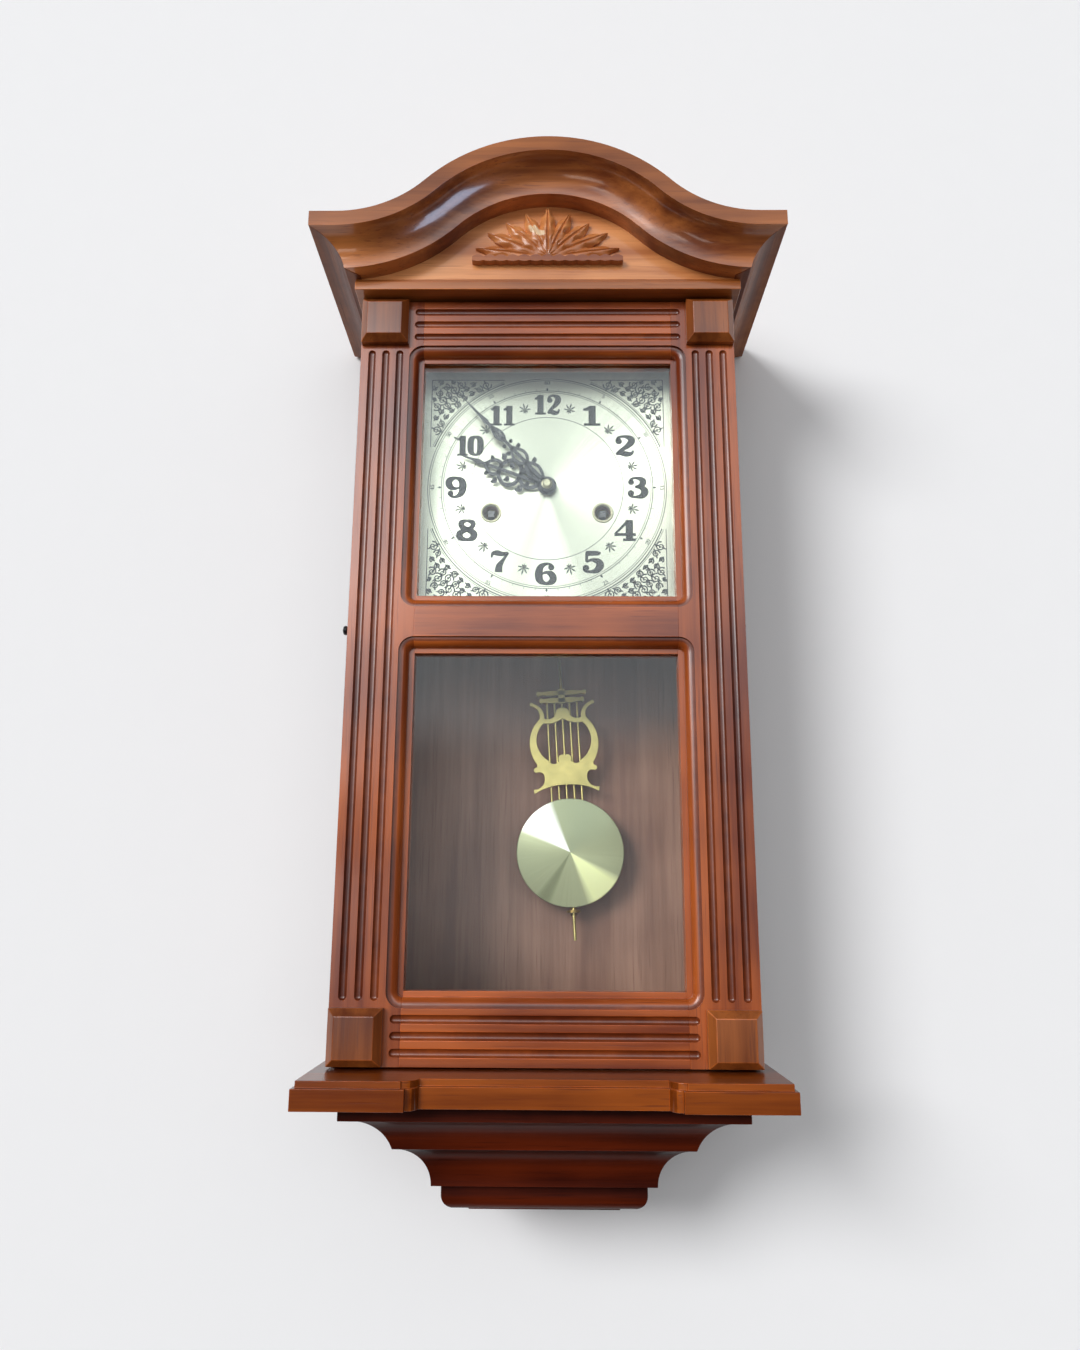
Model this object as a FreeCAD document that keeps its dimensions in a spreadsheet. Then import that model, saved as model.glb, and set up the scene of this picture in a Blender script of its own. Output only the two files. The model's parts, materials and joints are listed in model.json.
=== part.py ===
import FreeCAD, Part
import math
import os
import re
import Sketcher

# Wall-hung pendulum clock: a wooden case with a serpentine crown, one glazed door,
# a striking spring movement behind a square dial, and a lyre pendulum.
# X is to the right seen from the front, Y runs back to the wall, Z is up.
# The origin is the middle of the hanger hole, in the plane of the wall. Sizes are millimetres.

V = FreeCAD.Vector
doc = FreeCAD.newDocument("WallPendulumClock")
sheet = doc.addObject("Spreadsheet::Sheet", "Sizes")

SIZES = {
    # case
    "door_width": 230,
    "case_depth": 86.4,
    "side_thickness": 10,
    "back_thickness": 6,
    "top_thickness": 10,
    "hinge_gap": 1.6,
    # door
    "door_thickness": 20,
    "stile_width": 38.5,
    "top_rail_width": 38.5,
    "mid_rail_width": 35,
    "bottom_rail_width": 38,
    "upper_window_height": 151,
    "lower_window_height": 188,
    "door_gap_top": 1.5,
    "door_gap_bottom": 1,
    "quirk_depth": 1.5,
    "quirk_width": 0.5,
    "bead_radius": 5,
    "bead_drop": 0.4,
    "lip_width": 3,
    "lip_thickness": 3,
    "rebate_width": 6,
    "glass_thickness": 2.5,
    "glass_clearance": 0.5,
    "strip_depth": 6,
    "flute_radius": 2.4,
    "flute_lift": 0.8,
    "flute_pitch": 8.5,
    "flute_inset": 7,
    "flute_gap": 6,
    "rail_flute_length": 160,
    "block_width": 29,
    "block_height": 29.5,
    "block_thickness": 8,
    "block_bevel": 4,
    "block_inset": 0.4,
    # crown
    "crown_projection": 40,
    "crown_overhang": 27,
    "crown_rise": 51.5,
    "crest_radius": 105,
    "sweep_radius": 75,
    "fascia_height": 9.5,
    "cove_drop": 16,
    "cove_projection": 18.5,
    "tympanum_step": 9,
    "tympanum_thickness": 18,
    "hanger_drop": 40,
    "frieze_height": 8,
    "frieze_step": 2.5,
    "frieze_setback": 1.5,
    "frieze_projection": 11.5,
    "frieze_overhang": 3.5,
    "leaf_width": 96,
    "leaf_height": 39,
    "leaf_thickness": 7,
    "leaf_lift": 10,
    # shelf and drop
    "shelf_overhang": 9,
    "shelf_projection": 40,
    "shelf_thickness": 14,
    "shelf_step_height": 3.5,
    "shelf_step_width": 2,
    "shelf_middle_width": 136,
    "shelf_setback": 9,
    "shelf_scoop": 6,
    "drop_inset": 20,
    "drop_fillet": 8,
    "drop_upper_height": 26,
    "drop_upper_reach": 24.5,
    "drop_middle_ledge": 1.5,
    "drop_middle_height": 22,
    "drop_middle_reach": 17.4,
    "drop_lower_ledge": 5,
    "drop_lower_height": 16,
    "drop_lower_reach": 8,
    "drop_plate_inset": 6,
    "drop_plate_height": 2.5,
    # hanger
    "hanger_width": 44,
    "hanger_height": 34,
    "hanger_thickness": 1.5,
    "hanger_hole": 4,
    "hanger_slot": 2,
    "hanger_slot_rise": 8,
    "hanger_room": 8,
    # dial and hands
    "dial_setback": 32,
    "dial_drop": 72,
    "dial_width": 184,
    "dial_thickness": 1,
    "dial_board_thickness": 6,
    "dial_board_height": 192,
    "dial_hole": 4,
    "cleat_size": 14,
    "hand_thickness": 0.6,
    "hour_hand_lift": 2.6,
    "hand_spacing": 2.4,
    "hour_hand_length": 59,
    "minute_hand_length": 77,
    "hour_hub_radius": 6,
    "minute_hub_radius": 4.6,
    "hand_tip": 0.25,
    "hand_nut_radius": 3.4,
    "hand_nut_tip": 2.2,
    "hand_nut_height": 2.4,
    # movement frame
    "motion_gap": 7,
    "plate_thickness": 2,
    "plate_spacing": 28,
    "plate_width": 150,
    "plate_rise": 64,
    "plate_foot": 13.5,
    "pillar_radius": 4,
    "pillar_inset": 8,
    "pivot_radius": 0.8,
    "arbor_radius": 1.25,
    "running_gap": 0.05,
    "end_shake": 0.3,
    "wheel_thickness": 1.4,
    "wheel_gap": 1.6,
    "strike_gap": 2.8,
    "pin_gap": 0.7,
    "centre_gap": 1,
    "escape_gap": 5,
    "pinion_length": 3.5,
    "pinion_lead": 0.5,
    "centre_arbor_radius": 1.5,
    "barrel_arbor_radius": 3,
    # trains
    "barrel_offset": 35,
    "barrel_fall": 17,
    "barrel_radius": 27,
    "barrel_depth": 13,
    "barrel_wall": 1.2,
    "barrel_cap": 1,
    "spring_leaf": 0.9,
    "spring_clearance": 0.6,
    "third_offset": 14.24,
    "third_rise": 19.32,
    "escape_rise": 35,
    "escape_radius": 12.5,
    "suspension_rise": 52,
    "pin_wheel_offset": 20.3,
    "pin_wheel_rise": 19,
    "fly_offset": 25.3,
    "fly_rise": 35.25,
    "minute_wheel_fall": 12,
    "winding_square": 4,
    "winding_setback": 1,
    "winding_clearance": 2,
    "pallet_clearance": 1.3,
    "pallet_depth": 4,
    "anchor_arm": 2.4,
    "anchor_crown": 1.4,
    "anchor_thickness": 3,
    "crutch_length": 34,
    "crutch_width": 1.4,
    "crutch_thickness": 1.6,
    "crutch_gap": 1,
    "crutch_clearance": 0.35,
    "prong_width": 1.2,
    "prong_reach": 2.5,
    "hub_radius": 2.4,
    "pipe_wall": 0.8,
    "motion_plane_gap": 0.6,
    "motion_back_gap": 0.8,
    "stud_radius": 1,
    # pendulum
    "pendulum_setback": 20,
    "pendulum_length": 276,
    "pendulum_lean": 3.2,
    "bob_radius": 33,
    "bob_thickness": 8,
    "rod_radius": 1,
    "lyre_thickness": 1.6,
    "string_radius": 0.7,
    "string_pitch": 4.9,
    "nut_radius": 4.4,
    "nut_height": 5,
    "nut_gap": 1.2,
    "cock_width": 14,
    "cock_height": 5,
    "cock_lift": 5,
    "cock_reach": 5,
    "lug_width": 8,
    "lug_thickness": 1.8,
    "lug_drop": 3,
    "hang_pin_radius": 1,
    "hang_pin_overhang": 3.2,
    "eye_radius": 3,
    "eye_thickness": 3,
    "strip_width": 5,
    "strip_thickness": 0.4,
    "clip_width": 6,
    "clip_height": 5,
    "clip_drop": 20,
    "crossbar_rise": 101,
    "crossbar_width": 34,
    "crossbar_height": 7,
    "string_foot": 20,
    "tail_overlap": 2,
    "tail_length": 21,
    "bob_rim": 2,
    "bob_bevel": 4,
    # gong and hammer
    "gong_radius": 1.5,
    "gong_length": 120,
    "gong_block_height": 26,
    "hammer_inset": 13,
    "hammer_rise": 22,
    "hammer_fall": 40,
    "hammer_arm": 1.6,
    "hammer_head_radius": 3.2,
    "hammer_head_length": 6,
    "hammer_clearance": 0.9,
    "hammer_gong_gap": 1,
    "pin_circle": 12.2,
    "lift_pin_radius": 0.5,
    "lift_pin_length": 1.6,
    "tail_gap": 1.4,
    "fly_width": 18,
    "fly_depth": 9,
    "fly_thickness": 0.8,
    "fly_setback": 3.5,
    # door furniture
    "hinge_height": 38,
    "hinge_inset": 52,
    "hinge_leaf": 0.7,
    "hinge_pin": 0.85,
    "knuckle_radius": 1.9,
    "knuckle_gap": 0.3,
    "knob_radius": 2.8,
    "knob_length": 4.5,
    "knob_drop": 3,
    "screw_radius": 1.2,
    "screw_head": 2.6,
    "screw_length": 9,
    "hanger_screw_length": 5,
    "screw_inset": 8,
    "magnet_width": 9,
    "magnet_depth": 11,
    "magnet_height": 24,
}

for row, (name, value) in enumerate(SIZES.items(), 1):
    sheet.set(f"A{row}", name)
    sheet.set(f"B{row}", str(value))
    sheet.setAlias(f"B{row}", name)
doc.recompute()

WORD = re.compile(r"[a-z_][a-z0-9_]*")


def bound(text):
    """A formula on the sheet's names, written for an expression."""
    return WORD.sub(lambda m: "Sizes." + m.group() if m.group() in SIZES else m.group(), str(text))


def number(text):
    """The present value of a formula on the sheet's names."""
    return float(sheet.evalExpression(bound(text)))


def bind(thing, **formulas):
    for name, text in formulas.items():
        thing.setExpression(name, bound(text))


def place(thing, x, y, z):
    for letter, text in zip("xyz", (x, y, z)):
        thing.setExpression("Placement.Base." + letter, bound(text))
    return thing


def box(name, low, high):
    """A block between two corners, each given by three formulas."""
    block = doc.addObject("Part::Box", name)
    length, width, height = [f"({b}) - ({a})" for a, b in zip(low, high)]
    bind(block, Length=length, Width=width, Height=height)
    return place(block, *low)


TURNS = {
    "X": FreeCAD.Rotation(V(0, 1, 0), 90),
    "Y": FreeCAD.Rotation(V(1, 0, 0), -90),
    "-Y": FreeCAD.Rotation(V(1, 0, 0), 90),
    "Z": FreeCAD.Rotation(),
}


def rod(name, start, axis, radius, length):
    """A round bar from a start point along an axis."""
    bar = doc.addObject("Part::Cylinder", name)
    bar.Placement = FreeCAD.Placement(V(), TURNS[axis])
    bind(bar, Radius=radius, Height=length)
    return place(bar, *start)


def cone(name, start, axis, radius, end_radius, length):
    """A tapered round bar from a start point along an axis."""
    bar = doc.addObject("Part::Cone", name)
    bar.Placement = FreeCAD.Placement(V(), TURNS[axis])
    bind(bar, Radius1=radius, Radius2=end_radius, Height=length)
    return place(bar, *start)


def fuse(name, *shapes):
    joined = doc.addObject("Part::MultiFuse", name)
    joined.Shapes = list(shapes)
    return joined


def cut(name, base, *tools):
    trimmed = doc.addObject("Part::Cut", name)
    trimmed.Base = base
    trimmed.Tool = tools[0] if len(tools) == 1 else fuse(name + "_tools", *tools)
    return trimmed


def group(name, *shapes):
    """Like pieces that share a node."""
    gathered = doc.addObject("Part::Compound", name)
    gathered.Links = list(shapes)
    return gathered


def draw(sketch, loop):
    """Draws one closed loop. Each entry is (x, y) or (x, y, radius, side): an arc leaves that corner,
    and its centre lies on the left (1) or right (-1) of the way to the next corner."""
    corners = [V(number(entry[0]), number(entry[1]), 0) for entry in loop]
    edges = []
    for i, entry in enumerate(loop):
        a, b = corners[i], corners[(i + 1) % len(corners)]
        if len(entry) == 2:
            edges.append((sketch.addGeometry(Part.LineSegment(a, b)), 1, 2))
            continue
        radius, side = number(entry[2]), entry[3]
        across = V(a.y - b.y, b.x - a.x, 0).normalize()
        half = (b - a).Length / 2
        centre = (a + b) * 0.5 + across * (side * math.sqrt(max(radius * radius - half * half, 0)))
        angles = [math.atan2(p.y - centre.y, p.x - centre.x) for p in (a, b)]
        circle = Part.Circle(centre, V(0, 0, 1), radius)
        if side > 0:
            edges.append((sketch.addGeometry(Part.ArcOfCircle(circle, angles[0], angles[1])), 1, 2))
        else:
            edges.append((sketch.addGeometry(Part.ArcOfCircle(circle, angles[1], angles[0])), 2, 1))
    for i, (edge, start, end) in enumerate(edges):
        following = edges[(i + 1) % len(edges)]
        sketch.addConstraint(Sketcher.Constraint("Coincident", edge, end, following[0], following[1]))
    for i, (edge, start, end) in enumerate(edges):
        for kind, text, value in (("DistanceX", loop[i][0], corners[i].x), ("DistanceY", loop[i][1], corners[i].y)):
            held = sketch.addConstraint(Sketcher.Constraint(kind, -1, 1, edge, start, value))
            sketch.setExpression(f"Constraints[{held}]", bound(text))
        if len(loop[i]) > 2:
            held = sketch.addConstraint(Sketcher.Constraint("Radius", edge, number(loop[i][2])))
            sketch.setExpression(f"Constraints[{held}]", bound(loop[i][2]))


def draw_circle(sketch, x, y, radius):
    circle = sketch.addGeometry(Part.Circle(V(number(x), number(y), 0), V(0, 0, 1), number(radius)))
    for kind, text in (("DistanceX", x), ("DistanceY", y)):
        held = sketch.addConstraint(Sketcher.Constraint(kind, -1, 1, circle, 3, number(text)))
        sketch.setExpression(f"Constraints[{held}]", bound(text))
    held = sketch.addConstraint(Sketcher.Constraint("Radius", circle, number(radius)))
    sketch.setExpression(f"Constraints[{held}]", bound(radius))


def pad(name, plane, start, length, loop, holes=()):
    """A body padded from an outline. On XZ it runs forward from its start, on YZ to the right, on XY up."""
    body = doc.addObject("PartDesign::Body", name)
    sketch = body.newObject("Sketcher::SketchObject", name + "_outline")
    support = [f for f in body.Origin.OriginFeatures if f.Role == plane + "_Plane"][0]
    sketch.AttachmentSupport = (support, [""])
    sketch.MapMode = "FlatFace"
    draw(sketch, loop)
    for hole in holes:
        draw_circle(sketch, *hole)
    feature = body.newObject("PartDesign::Pad", name + "_pad")
    feature.Profile = sketch
    bind(feature, Length=length)
    offset = {"XZ": ("0", start, "0"), "YZ": (start, "0", "0"), "XY": ("0", "0", start)}[plane]
    return place(body, *offset)


def mirror(name, source):
    """The same piece on the other side of the clock."""
    other = doc.addObject("Part::Mirroring", name)
    other.Source = source
    other.Normal = V(1, 0, 0)
    other.Base = V()
    return other


def shaped(name, shape, placement=FreeCAD.Placement()):
    """A piece whose shape is worked out in code from the sheet's values."""
    piece = doc.addObject("Part::Feature", name)
    piece.Shape = shape
    piece.Placement = placement
    return piece


NODES = {}


def node(name, thing):
    """Keeps a finished piece under its name. A piece that is drilled later is kept again."""
    NODES[name] = thing
    return thing


# Levels and planes that pieces share
HALF = "door_width / 2"
INNER = "(door_width / 2 - side_thickness)"
CASE_FRONT = "(-case_depth)"
DOOR_BACK = "(-case_depth - hinge_gap)"
DOOR_FRONT = "(-case_depth - hinge_gap - door_thickness)"
CROWN_FRONT = f"({DOOR_FRONT} - crown_projection)"
TYMPANUM_FRONT = f"({DOOR_FRONT} - tympanum_step)"
TYMPANUM_BACK = f"({TYMPANUM_FRONT} + tympanum_thickness)"
CROWN_HALF = "(door_width / 2 + crown_overhang)"
RETURN_TOP = "hanger_drop"
BOARD_BOTTOM = "(hanger_drop - top_thickness)"
CORNICE_BOTTOM = "(hanger_drop - fascia_height - cove_drop)"
FRIEZE_BOTTOM = f"({CORNICE_BOTTOM} - frieze_height)"
DOOR_TOP = f"({FRIEZE_BOTTOM} - door_gap_top)"
UPPER_TOP = f"({DOOR_TOP} - top_rail_width)"
UPPER_BOTTOM = f"({UPPER_TOP} - upper_window_height)"
LOWER_TOP = f"({UPPER_BOTTOM} - mid_rail_width)"
LOWER_BOTTOM = f"({LOWER_TOP} - lower_window_height)"
DOOR_BOTTOM = f"({LOWER_BOTTOM} - bottom_rail_width)"
SHELF_TOP = f"({DOOR_BOTTOM} - door_gap_bottom)"
SHELF_BOTTOM = f"({SHELF_TOP} - shelf_thickness)"
OPENING = "(door_width / 2 - stile_width)"

# Case boards
side = node("case_side_left", box("side_left", (f"-{HALF}", CASE_FRONT, SHELF_TOP), (f"-{INNER}", "0", BOARD_BOTTOM)))
node("case_side_right", mirror("side_right", side))
node("top_board", box("top", (f"-{HALF}", TYMPANUM_BACK, BOARD_BOTTOM), (HALF, "0", RETURN_TOP)))

# Hanger: a steel keyhole plate let into the back board, with room behind it for the screw's head
hanger_corner = ("-hanger_width / 2", "-hanger_thickness", "-hanger_height / 2")
hanger_blank = box("hanger_blank", hanger_corner, ("hanger_width / 2", "0", "hanger_height / 2"))
hole_start = ("0", "-back_thickness", "0")
hanger_eye = rod("hanger_eye", hole_start, "Y", "hanger_hole", "back_thickness")
slot_low = ("-hanger_slot", "-back_thickness", "0")
hanger_neck = box("hanger_neck", slot_low, ("hanger_slot", "0", "hanger_slot_rise"))
slot_end = ("0", "-back_thickness", "hanger_slot_rise")
hanger_end = rod("hanger_end", slot_end, "Y", "hanger_slot", "back_thickness")
keyhole = fuse("keyhole", hanger_eye, hanger_neck, hanger_end)
node("hanger_plate", cut("hanger", hanger_blank, keyhole))
room_low = ("-hanger_room", "-back_thickness", "-hanger_room")
room = box("screw_room", room_low, ("hanger_room", "-hanger_thickness", "hanger_room + hanger_slot_rise"))
back_low = (f"-{INNER}", "-back_thickness", SHELF_TOP)
back_blank = box("back_blank", back_low, (INNER, "0", BOARD_BOTTOM))
node("back_board", cut("back", back_blank, hanger_blank, room))

# Crown: the serpentine line is a crest arc between two hollow arcs, all tangent, with level ends
FLEX = "acos(1 - crown_rise / (crest_radius + sweep_radius))"
FLEX_X = f"crest_radius * sin({FLEX})"
FLEX_Z = f"(hanger_drop + crown_rise - crest_radius * (1 - cos({FLEX})))"
SWEEP_X = f"((crest_radius + sweep_radius) * sin({FLEX}))"
BOARD_EDGE_Z = f"(hanger_drop + sweep_radius - sqrt(sweep_radius ^ 2 - ({SWEEP_X} - {HALF}) ^ 2))"
tympanum_line = [
    (f"-{HALF}", CORNICE_BOTTOM),
    (HALF, CORNICE_BOTTOM),
    (HALF, BOARD_EDGE_Z, "sweep_radius", -1),
    (FLEX_X, FLEX_Z, "crest_radius", 1),
    (f"-{FLEX_X}", FLEX_Z, "sweep_radius", -1),
    (f"-{HALF}", BOARD_EDGE_Z),
]
node("tympanum", pad("tympanum_board", "XZ", TYMPANUM_BACK, "tympanum_thickness", tympanum_line))

frieze_front = f"({DOOR_FRONT} - frieze_projection)"
frieze_line = [
    (CASE_FRONT, FRIEZE_BOTTOM),
    (CASE_FRONT, CORNICE_BOTTOM),
    (f"{frieze_front} + frieze_setback", CORNICE_BOTTOM),
    (f"{frieze_front} + frieze_setback", f"{CORNICE_BOTTOM} - frieze_step"),
    (frieze_front, f"{CORNICE_BOTTOM} - frieze_step"),
    (frieze_front, FRIEZE_BOTTOM),
]
FRIEZE_HALF = f"({HALF} + frieze_overhang)"
node("frieze_strip", pad("frieze", "YZ", f"-{FRIEZE_HALF}", f"2 * {FRIEZE_HALF}", frieze_line))

# Side cornices run from the mitre back to the wall
COVE_RADIUS = "((cove_drop ^ 2 + cove_projection ^ 2) / (2 * min(cove_drop; cove_projection)))"
return_line = [
    (HALF, CORNICE_BOTTOM),
    (f"{CROWN_HALF} - cove_projection", CORNICE_BOTTOM, COVE_RADIUS, -1),
    (CROWN_HALF, "hanger_drop - fascia_height"),
    (CROWN_HALF, RETURN_TOP),
    (HALF, RETURN_TOP),
]
return_blank = pad("return_blank", "XZ", "0", f"-{CROWN_FRONT}", return_line)
MITRE_Y = f"({CROWN_FRONT} + crown_overhang)"
mitre_line = [
    (HALF, CROWN_FRONT),
    (CROWN_HALF, CROWN_FRONT),
    (HALF, MITRE_Y),
]
mitre = pad("mitre", "XY", CORNICE_BOTTOM, f"{RETURN_TOP} - {CORNICE_BOTTOM}", mitre_line)
return_right = cut("return_right", return_blank, mitre)
node("side_cornices", group("returns", return_right, mirror("return_left", return_right)))


def cornice_section(x, z):
    """The cornice's section at a point of the crown line, as a face that hangs below the line."""
    front = number(CROWN_FRONT)
    back = number(TYMPANUM_FRONT)
    fascia = number("fascia_height")
    drop = fascia + number("cove_drop")
    toe = front + number("cove_projection")
    cove = number(COVE_RADIUS)
    chord = V(0, toe - front, -(drop - fascia))
    middle = V(x, front, z - fascia) + chord * 0.5
    normal = V(0, chord.z, -chord.y).normalize()
    sag = cove - math.sqrt(cove * cove - chord.Length ** 2 / 4)
    hollow = middle - normal * sag if normal.y < 0 else middle + normal * sag
    points = [V(x, back, z), V(x, front, z), V(x, front, z - fascia), V(x, toe, z - drop), V(x, back, z - drop)]
    edges = [
        Part.makeLine(points[0], points[1]),
        Part.makeLine(points[1], points[2]),
        Part.Arc(points[2], hollow, points[3]).toShape(),
        Part.makeLine(points[3], points[4]),
        Part.makeLine(points[4], points[0]),
    ]
    return Part.Face(Part.Wire(edges))


def cornice_front():
    """The moulding that follows the crown line across the front, cut to a mitre at both ends."""
    top = number("hanger_drop")
    rise = number("crown_rise")
    crest = number("crest_radius")
    sweep = number("sweep_radius")
    flex = math.degrees(math.acos(1 - rise / (crest + sweep)))
    sweep_x = number(SWEEP_X)
    half = number(CROWN_HALF)
    crest_face = cornice_section(0, top + rise)
    crest_face.rotate(V(0, 0, top + rise - crest), V(0, 1, 0), -flex)
    arch = crest_face.revolve(V(0, 0, top + rise - crest), V(0, 1, 0), 2 * flex)
    pieces = [arch]
    for way in (1, -1):
        face = cornice_section(way * sweep_x, top)
        pieces.append(face.revolve(V(way * sweep_x, 0, top + sweep), V(0, 1, 0), way * flex))
        if half > sweep_x:
            pieces.append(face.extrude(V(way * (half - sweep_x), 0, 0)))
    whole = pieces[0].multiFuse(pieces[1:]).removeSplitter()
    inner = number(HALF)
    front = number(CROWN_FRONT)
    overhang = number("crown_overhang")
    back = number(TYMPANUM_FRONT)
    low = number(CORNICE_BOTTOM)
    for way in (1, -1):
        corners = [(half, front), (inner, front + overhang), (inner, back), (half, back), (half, front)]
        outline = Part.makePolygon([V(way * x, y, low) for x, y in corners])
        whole = whole.cut(Part.Face(outline).extrude(V(0, 0, top + rise - low)))
    return whole.removeSplitter()


node("cornice_front", shaped("cornice", cornice_front()))


LEAF_LOBES = 9
LEAF_NOTCH = 0.9


def leaf_carving():
    """The carved leaf: a pointed fan of lobes on a straight foot."""
    half = number("leaf_width / 2")
    height = number("leaf_height")
    thick = number("leaf_thickness")

    def rim_point(share, reach):
        """A point on the fan's rim, from the right foot (0) over the tip (0.5) to the left foot (1)."""
        angle = math.pi * share
        radius = reach / (abs(math.cos(angle)) / half + math.sin(angle) / height)
        return V(radius * math.cos(angle), 0, radius * math.sin(angle))

    edges = []
    for i in range(LEAF_LOBES):
        start, end = [rim_point((i + step) / LEAF_LOBES, LEAF_NOTCH) for step in (0, 1)]
        edges.append(Part.Arc(start, rim_point((i + 0.5) / LEAF_LOBES, 1), end).toShape())
    edges.append(Part.makeLine(rim_point(1, LEAF_NOTCH), rim_point(0, LEAF_NOTCH)))
    return Part.Face(Part.Wire(edges)).extrude(V(0, -thick, 0))


leaf_seat = FreeCAD.Placement(V(0, number(TYMPANUM_FRONT), number(f"{CORNICE_BOTTOM} + leaf_lift")), FreeCAD.Rotation())
node("leaf_carving", shaped("leaf", leaf_carving(), leaf_seat))

# Shelf: the case stands on it, and its middle is set back between two end blocks
SHELF_HALF = "(door_width / 2 + shelf_overhang)"
SHELF_FRONT = f"({DOOR_FRONT} - shelf_projection)"


def shelf_line(inset):
    """The shelf's outline, drawn in by an inset."""
    outer = f"({SHELF_HALF} - {inset})"
    front = f"({SHELF_FRONT} + {inset})"
    block = f"(shelf_middle_width / 2 + {inset})"
    scoop = f"(shelf_scoop + {inset})"
    set_back = f"({SHELF_FRONT} + shelf_setback + {inset})"
    return [
        (f"-{outer}", "0"),
        (f"-{outer}", front),
        (f"-{block}", front),
        (f"-{block}", f"{set_back} - {scoop}", scoop, 1),
        (f"-{block} + {scoop}", set_back),
        (f"{block} - {scoop}", set_back, scoop, 1),
        (block, f"{set_back} - {scoop}"),
        (block, front),
        (outer, front),
        (outer, "0"),
    ]


shelf_slab = pad("shelf_slab", "XY", SHELF_BOTTOM, "shelf_thickness - shelf_step_height", shelf_line("0"))
STEP_Z = f"({SHELF_TOP} - shelf_step_height)"
shelf_step = pad("shelf_step", "XY", STEP_Z, "shelf_step_height", shelf_line("shelf_step_width"))
node("shelf", fuse("shelf_board", shelf_slab, shelf_step))


def drop_tier(name, top, sections):
    """One tier of the drop. Sections are corners (inset, height below the top) with an arc's radius and
    side where one follows, from the top edge down. The same section runs along the front and both sides."""
    half = f"({SHELF_HALF} - ({{}}))"
    front = f"({SHELF_FRONT} + ({{}}))"
    right = [(half.format(s[0]), f"{top} - ({s[1]})") + tuple(s[2:]) for s in sections]
    left = []
    for i, entry in enumerate(reversed(sections)):
        before = sections[len(sections) - 2 - i] if i < len(sections) - 1 else ()
        arc = (before[2], before[3]) if len(before) > 2 else ()
        left.append(("-" + half.format(entry[0]), f"{top} - ({entry[1]})") + arc)
    across = pad(name + "_across", "XZ", "0", f"-{SHELF_FRONT}", right + left)
    facing = [(front.format(s[0]), f"{top} - ({s[1]})") for s in sections]
    for i, entry in enumerate(sections):
        if len(entry) > 2:
            facing[i] = facing[i] + (entry[2], -entry[3])
    low = f"{top} - ({sections[-1][1]})"
    facing = facing + [("0", low), ("0", top)]
    along = pad(name + "_along", "YZ", f"-{SHELF_HALF}", f"2 * {SHELF_HALF}", facing)
    tier = doc.addObject("Part::Common", name)
    tier.Base = across
    tier.Tool = along
    return tier


def quarter(reach, fall):
    """The radius of the flattest hollow that starts level or upright over a reach and a fall."""
    return f"((({reach}) ^ 2 + ({fall}) ^ 2) / (2 * min({reach}; {fall})))"


UPPER_TIER_TOP = SHELF_BOTTOM
MIDDLE_TIER_TOP = f"({SHELF_BOTTOM} - drop_upper_height)"
LOWER_TIER_TOP = f"({MIDDLE_TIER_TOP} - drop_middle_height)"
upper_fall = "(drop_upper_height - drop_fillet)"
upper_end = "(drop_inset + drop_upper_reach)"
upper_section = [
    ("drop_inset", "0"),
    ("drop_inset", "drop_fillet", quarter("drop_upper_reach", upper_fall), 1),
    (upper_end, "drop_upper_height"),
]
node("drop_upper", drop_tier("tier_upper", UPPER_TIER_TOP, upper_section))
middle_start = f"({upper_end} + drop_middle_ledge)"
middle_end = f"({middle_start} + drop_middle_reach)"
middle_section = [
    (middle_start, "0", quarter("drop_middle_reach", "drop_middle_height"), 1),
    (middle_end, "drop_middle_height"),
]
node("drop_middle", drop_tier("tier_middle", MIDDLE_TIER_TOP, middle_section))
lower_start = f"({middle_end} + drop_lower_ledge)"
lower_end = f"({lower_start} + drop_lower_reach)"
lower_round = "(drop_lower_height - drop_plate_height)"
lower_section = [
    (lower_start, "0"),
    (lower_start, "drop_lower_height - drop_plate_height - drop_lower_reach", "drop_lower_reach", -1),
    (lower_end, lower_round),
    (f"{lower_end} + drop_plate_inset", lower_round),
    (f"{lower_end} + drop_plate_inset", "drop_lower_height"),
]
node("drop_lower", drop_tier("tier_lower", LOWER_TIER_TOP, lower_section))

# Door: two stiles and three rails with a routed bead round each window, rebated at the back for the glass
BEAD = "(lip_width + bead_radius + quirk_width)"
LIP_Y = f"({DOOR_FRONT} + quirk_depth + bead_radius + bead_drop)"
GLASS_Y = f"({LIP_Y} + lip_thickness)"
GLASS_BACK = f"({GLASS_Y} + glass_thickness)"


def bead_points(edge, way):
    """The bead's corners in a rail's section, from the face to the window. Way is 1 where the window is above."""
    plus = "+" if way < 0 else "-"
    quirk_y = f"{DOOR_FRONT} + quirk_depth"
    return [
        (DOOR_FRONT, f"{edge} {plus} {BEAD}"),
        (quirk_y, f"{edge} {plus} {BEAD}"),
        (quirk_y, f"{edge} {plus} (lip_width + bead_radius)", "bead_radius", -way),
        (f"{LIP_Y} - bead_drop", f"{edge} {plus} lip_width"),
        (LIP_Y, f"{edge} {plus} lip_width"),
        (LIP_Y, edge),
        (GLASS_Y, edge),
        (GLASS_Y, f"{edge} {plus} rebate_width"),
        (DOOR_BACK, f"{edge} {plus} rebate_width"),
    ]


def turned_round(points):
    """The same corners walked the other way, with each arc kept on its own stretch."""
    walked = []
    for i in range(len(points) - 1, -1, -1):
        arc = (points[i - 1][2], -points[i - 1][3]) if i > 0 and len(points[i - 1]) > 2 else ()
        walked.append(points[i][:2] + arc)
    return walked


def rail(name, loop):
    return pad(name, "YZ", f"-{OPENING}", f"2 * {OPENING}", loop)


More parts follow.
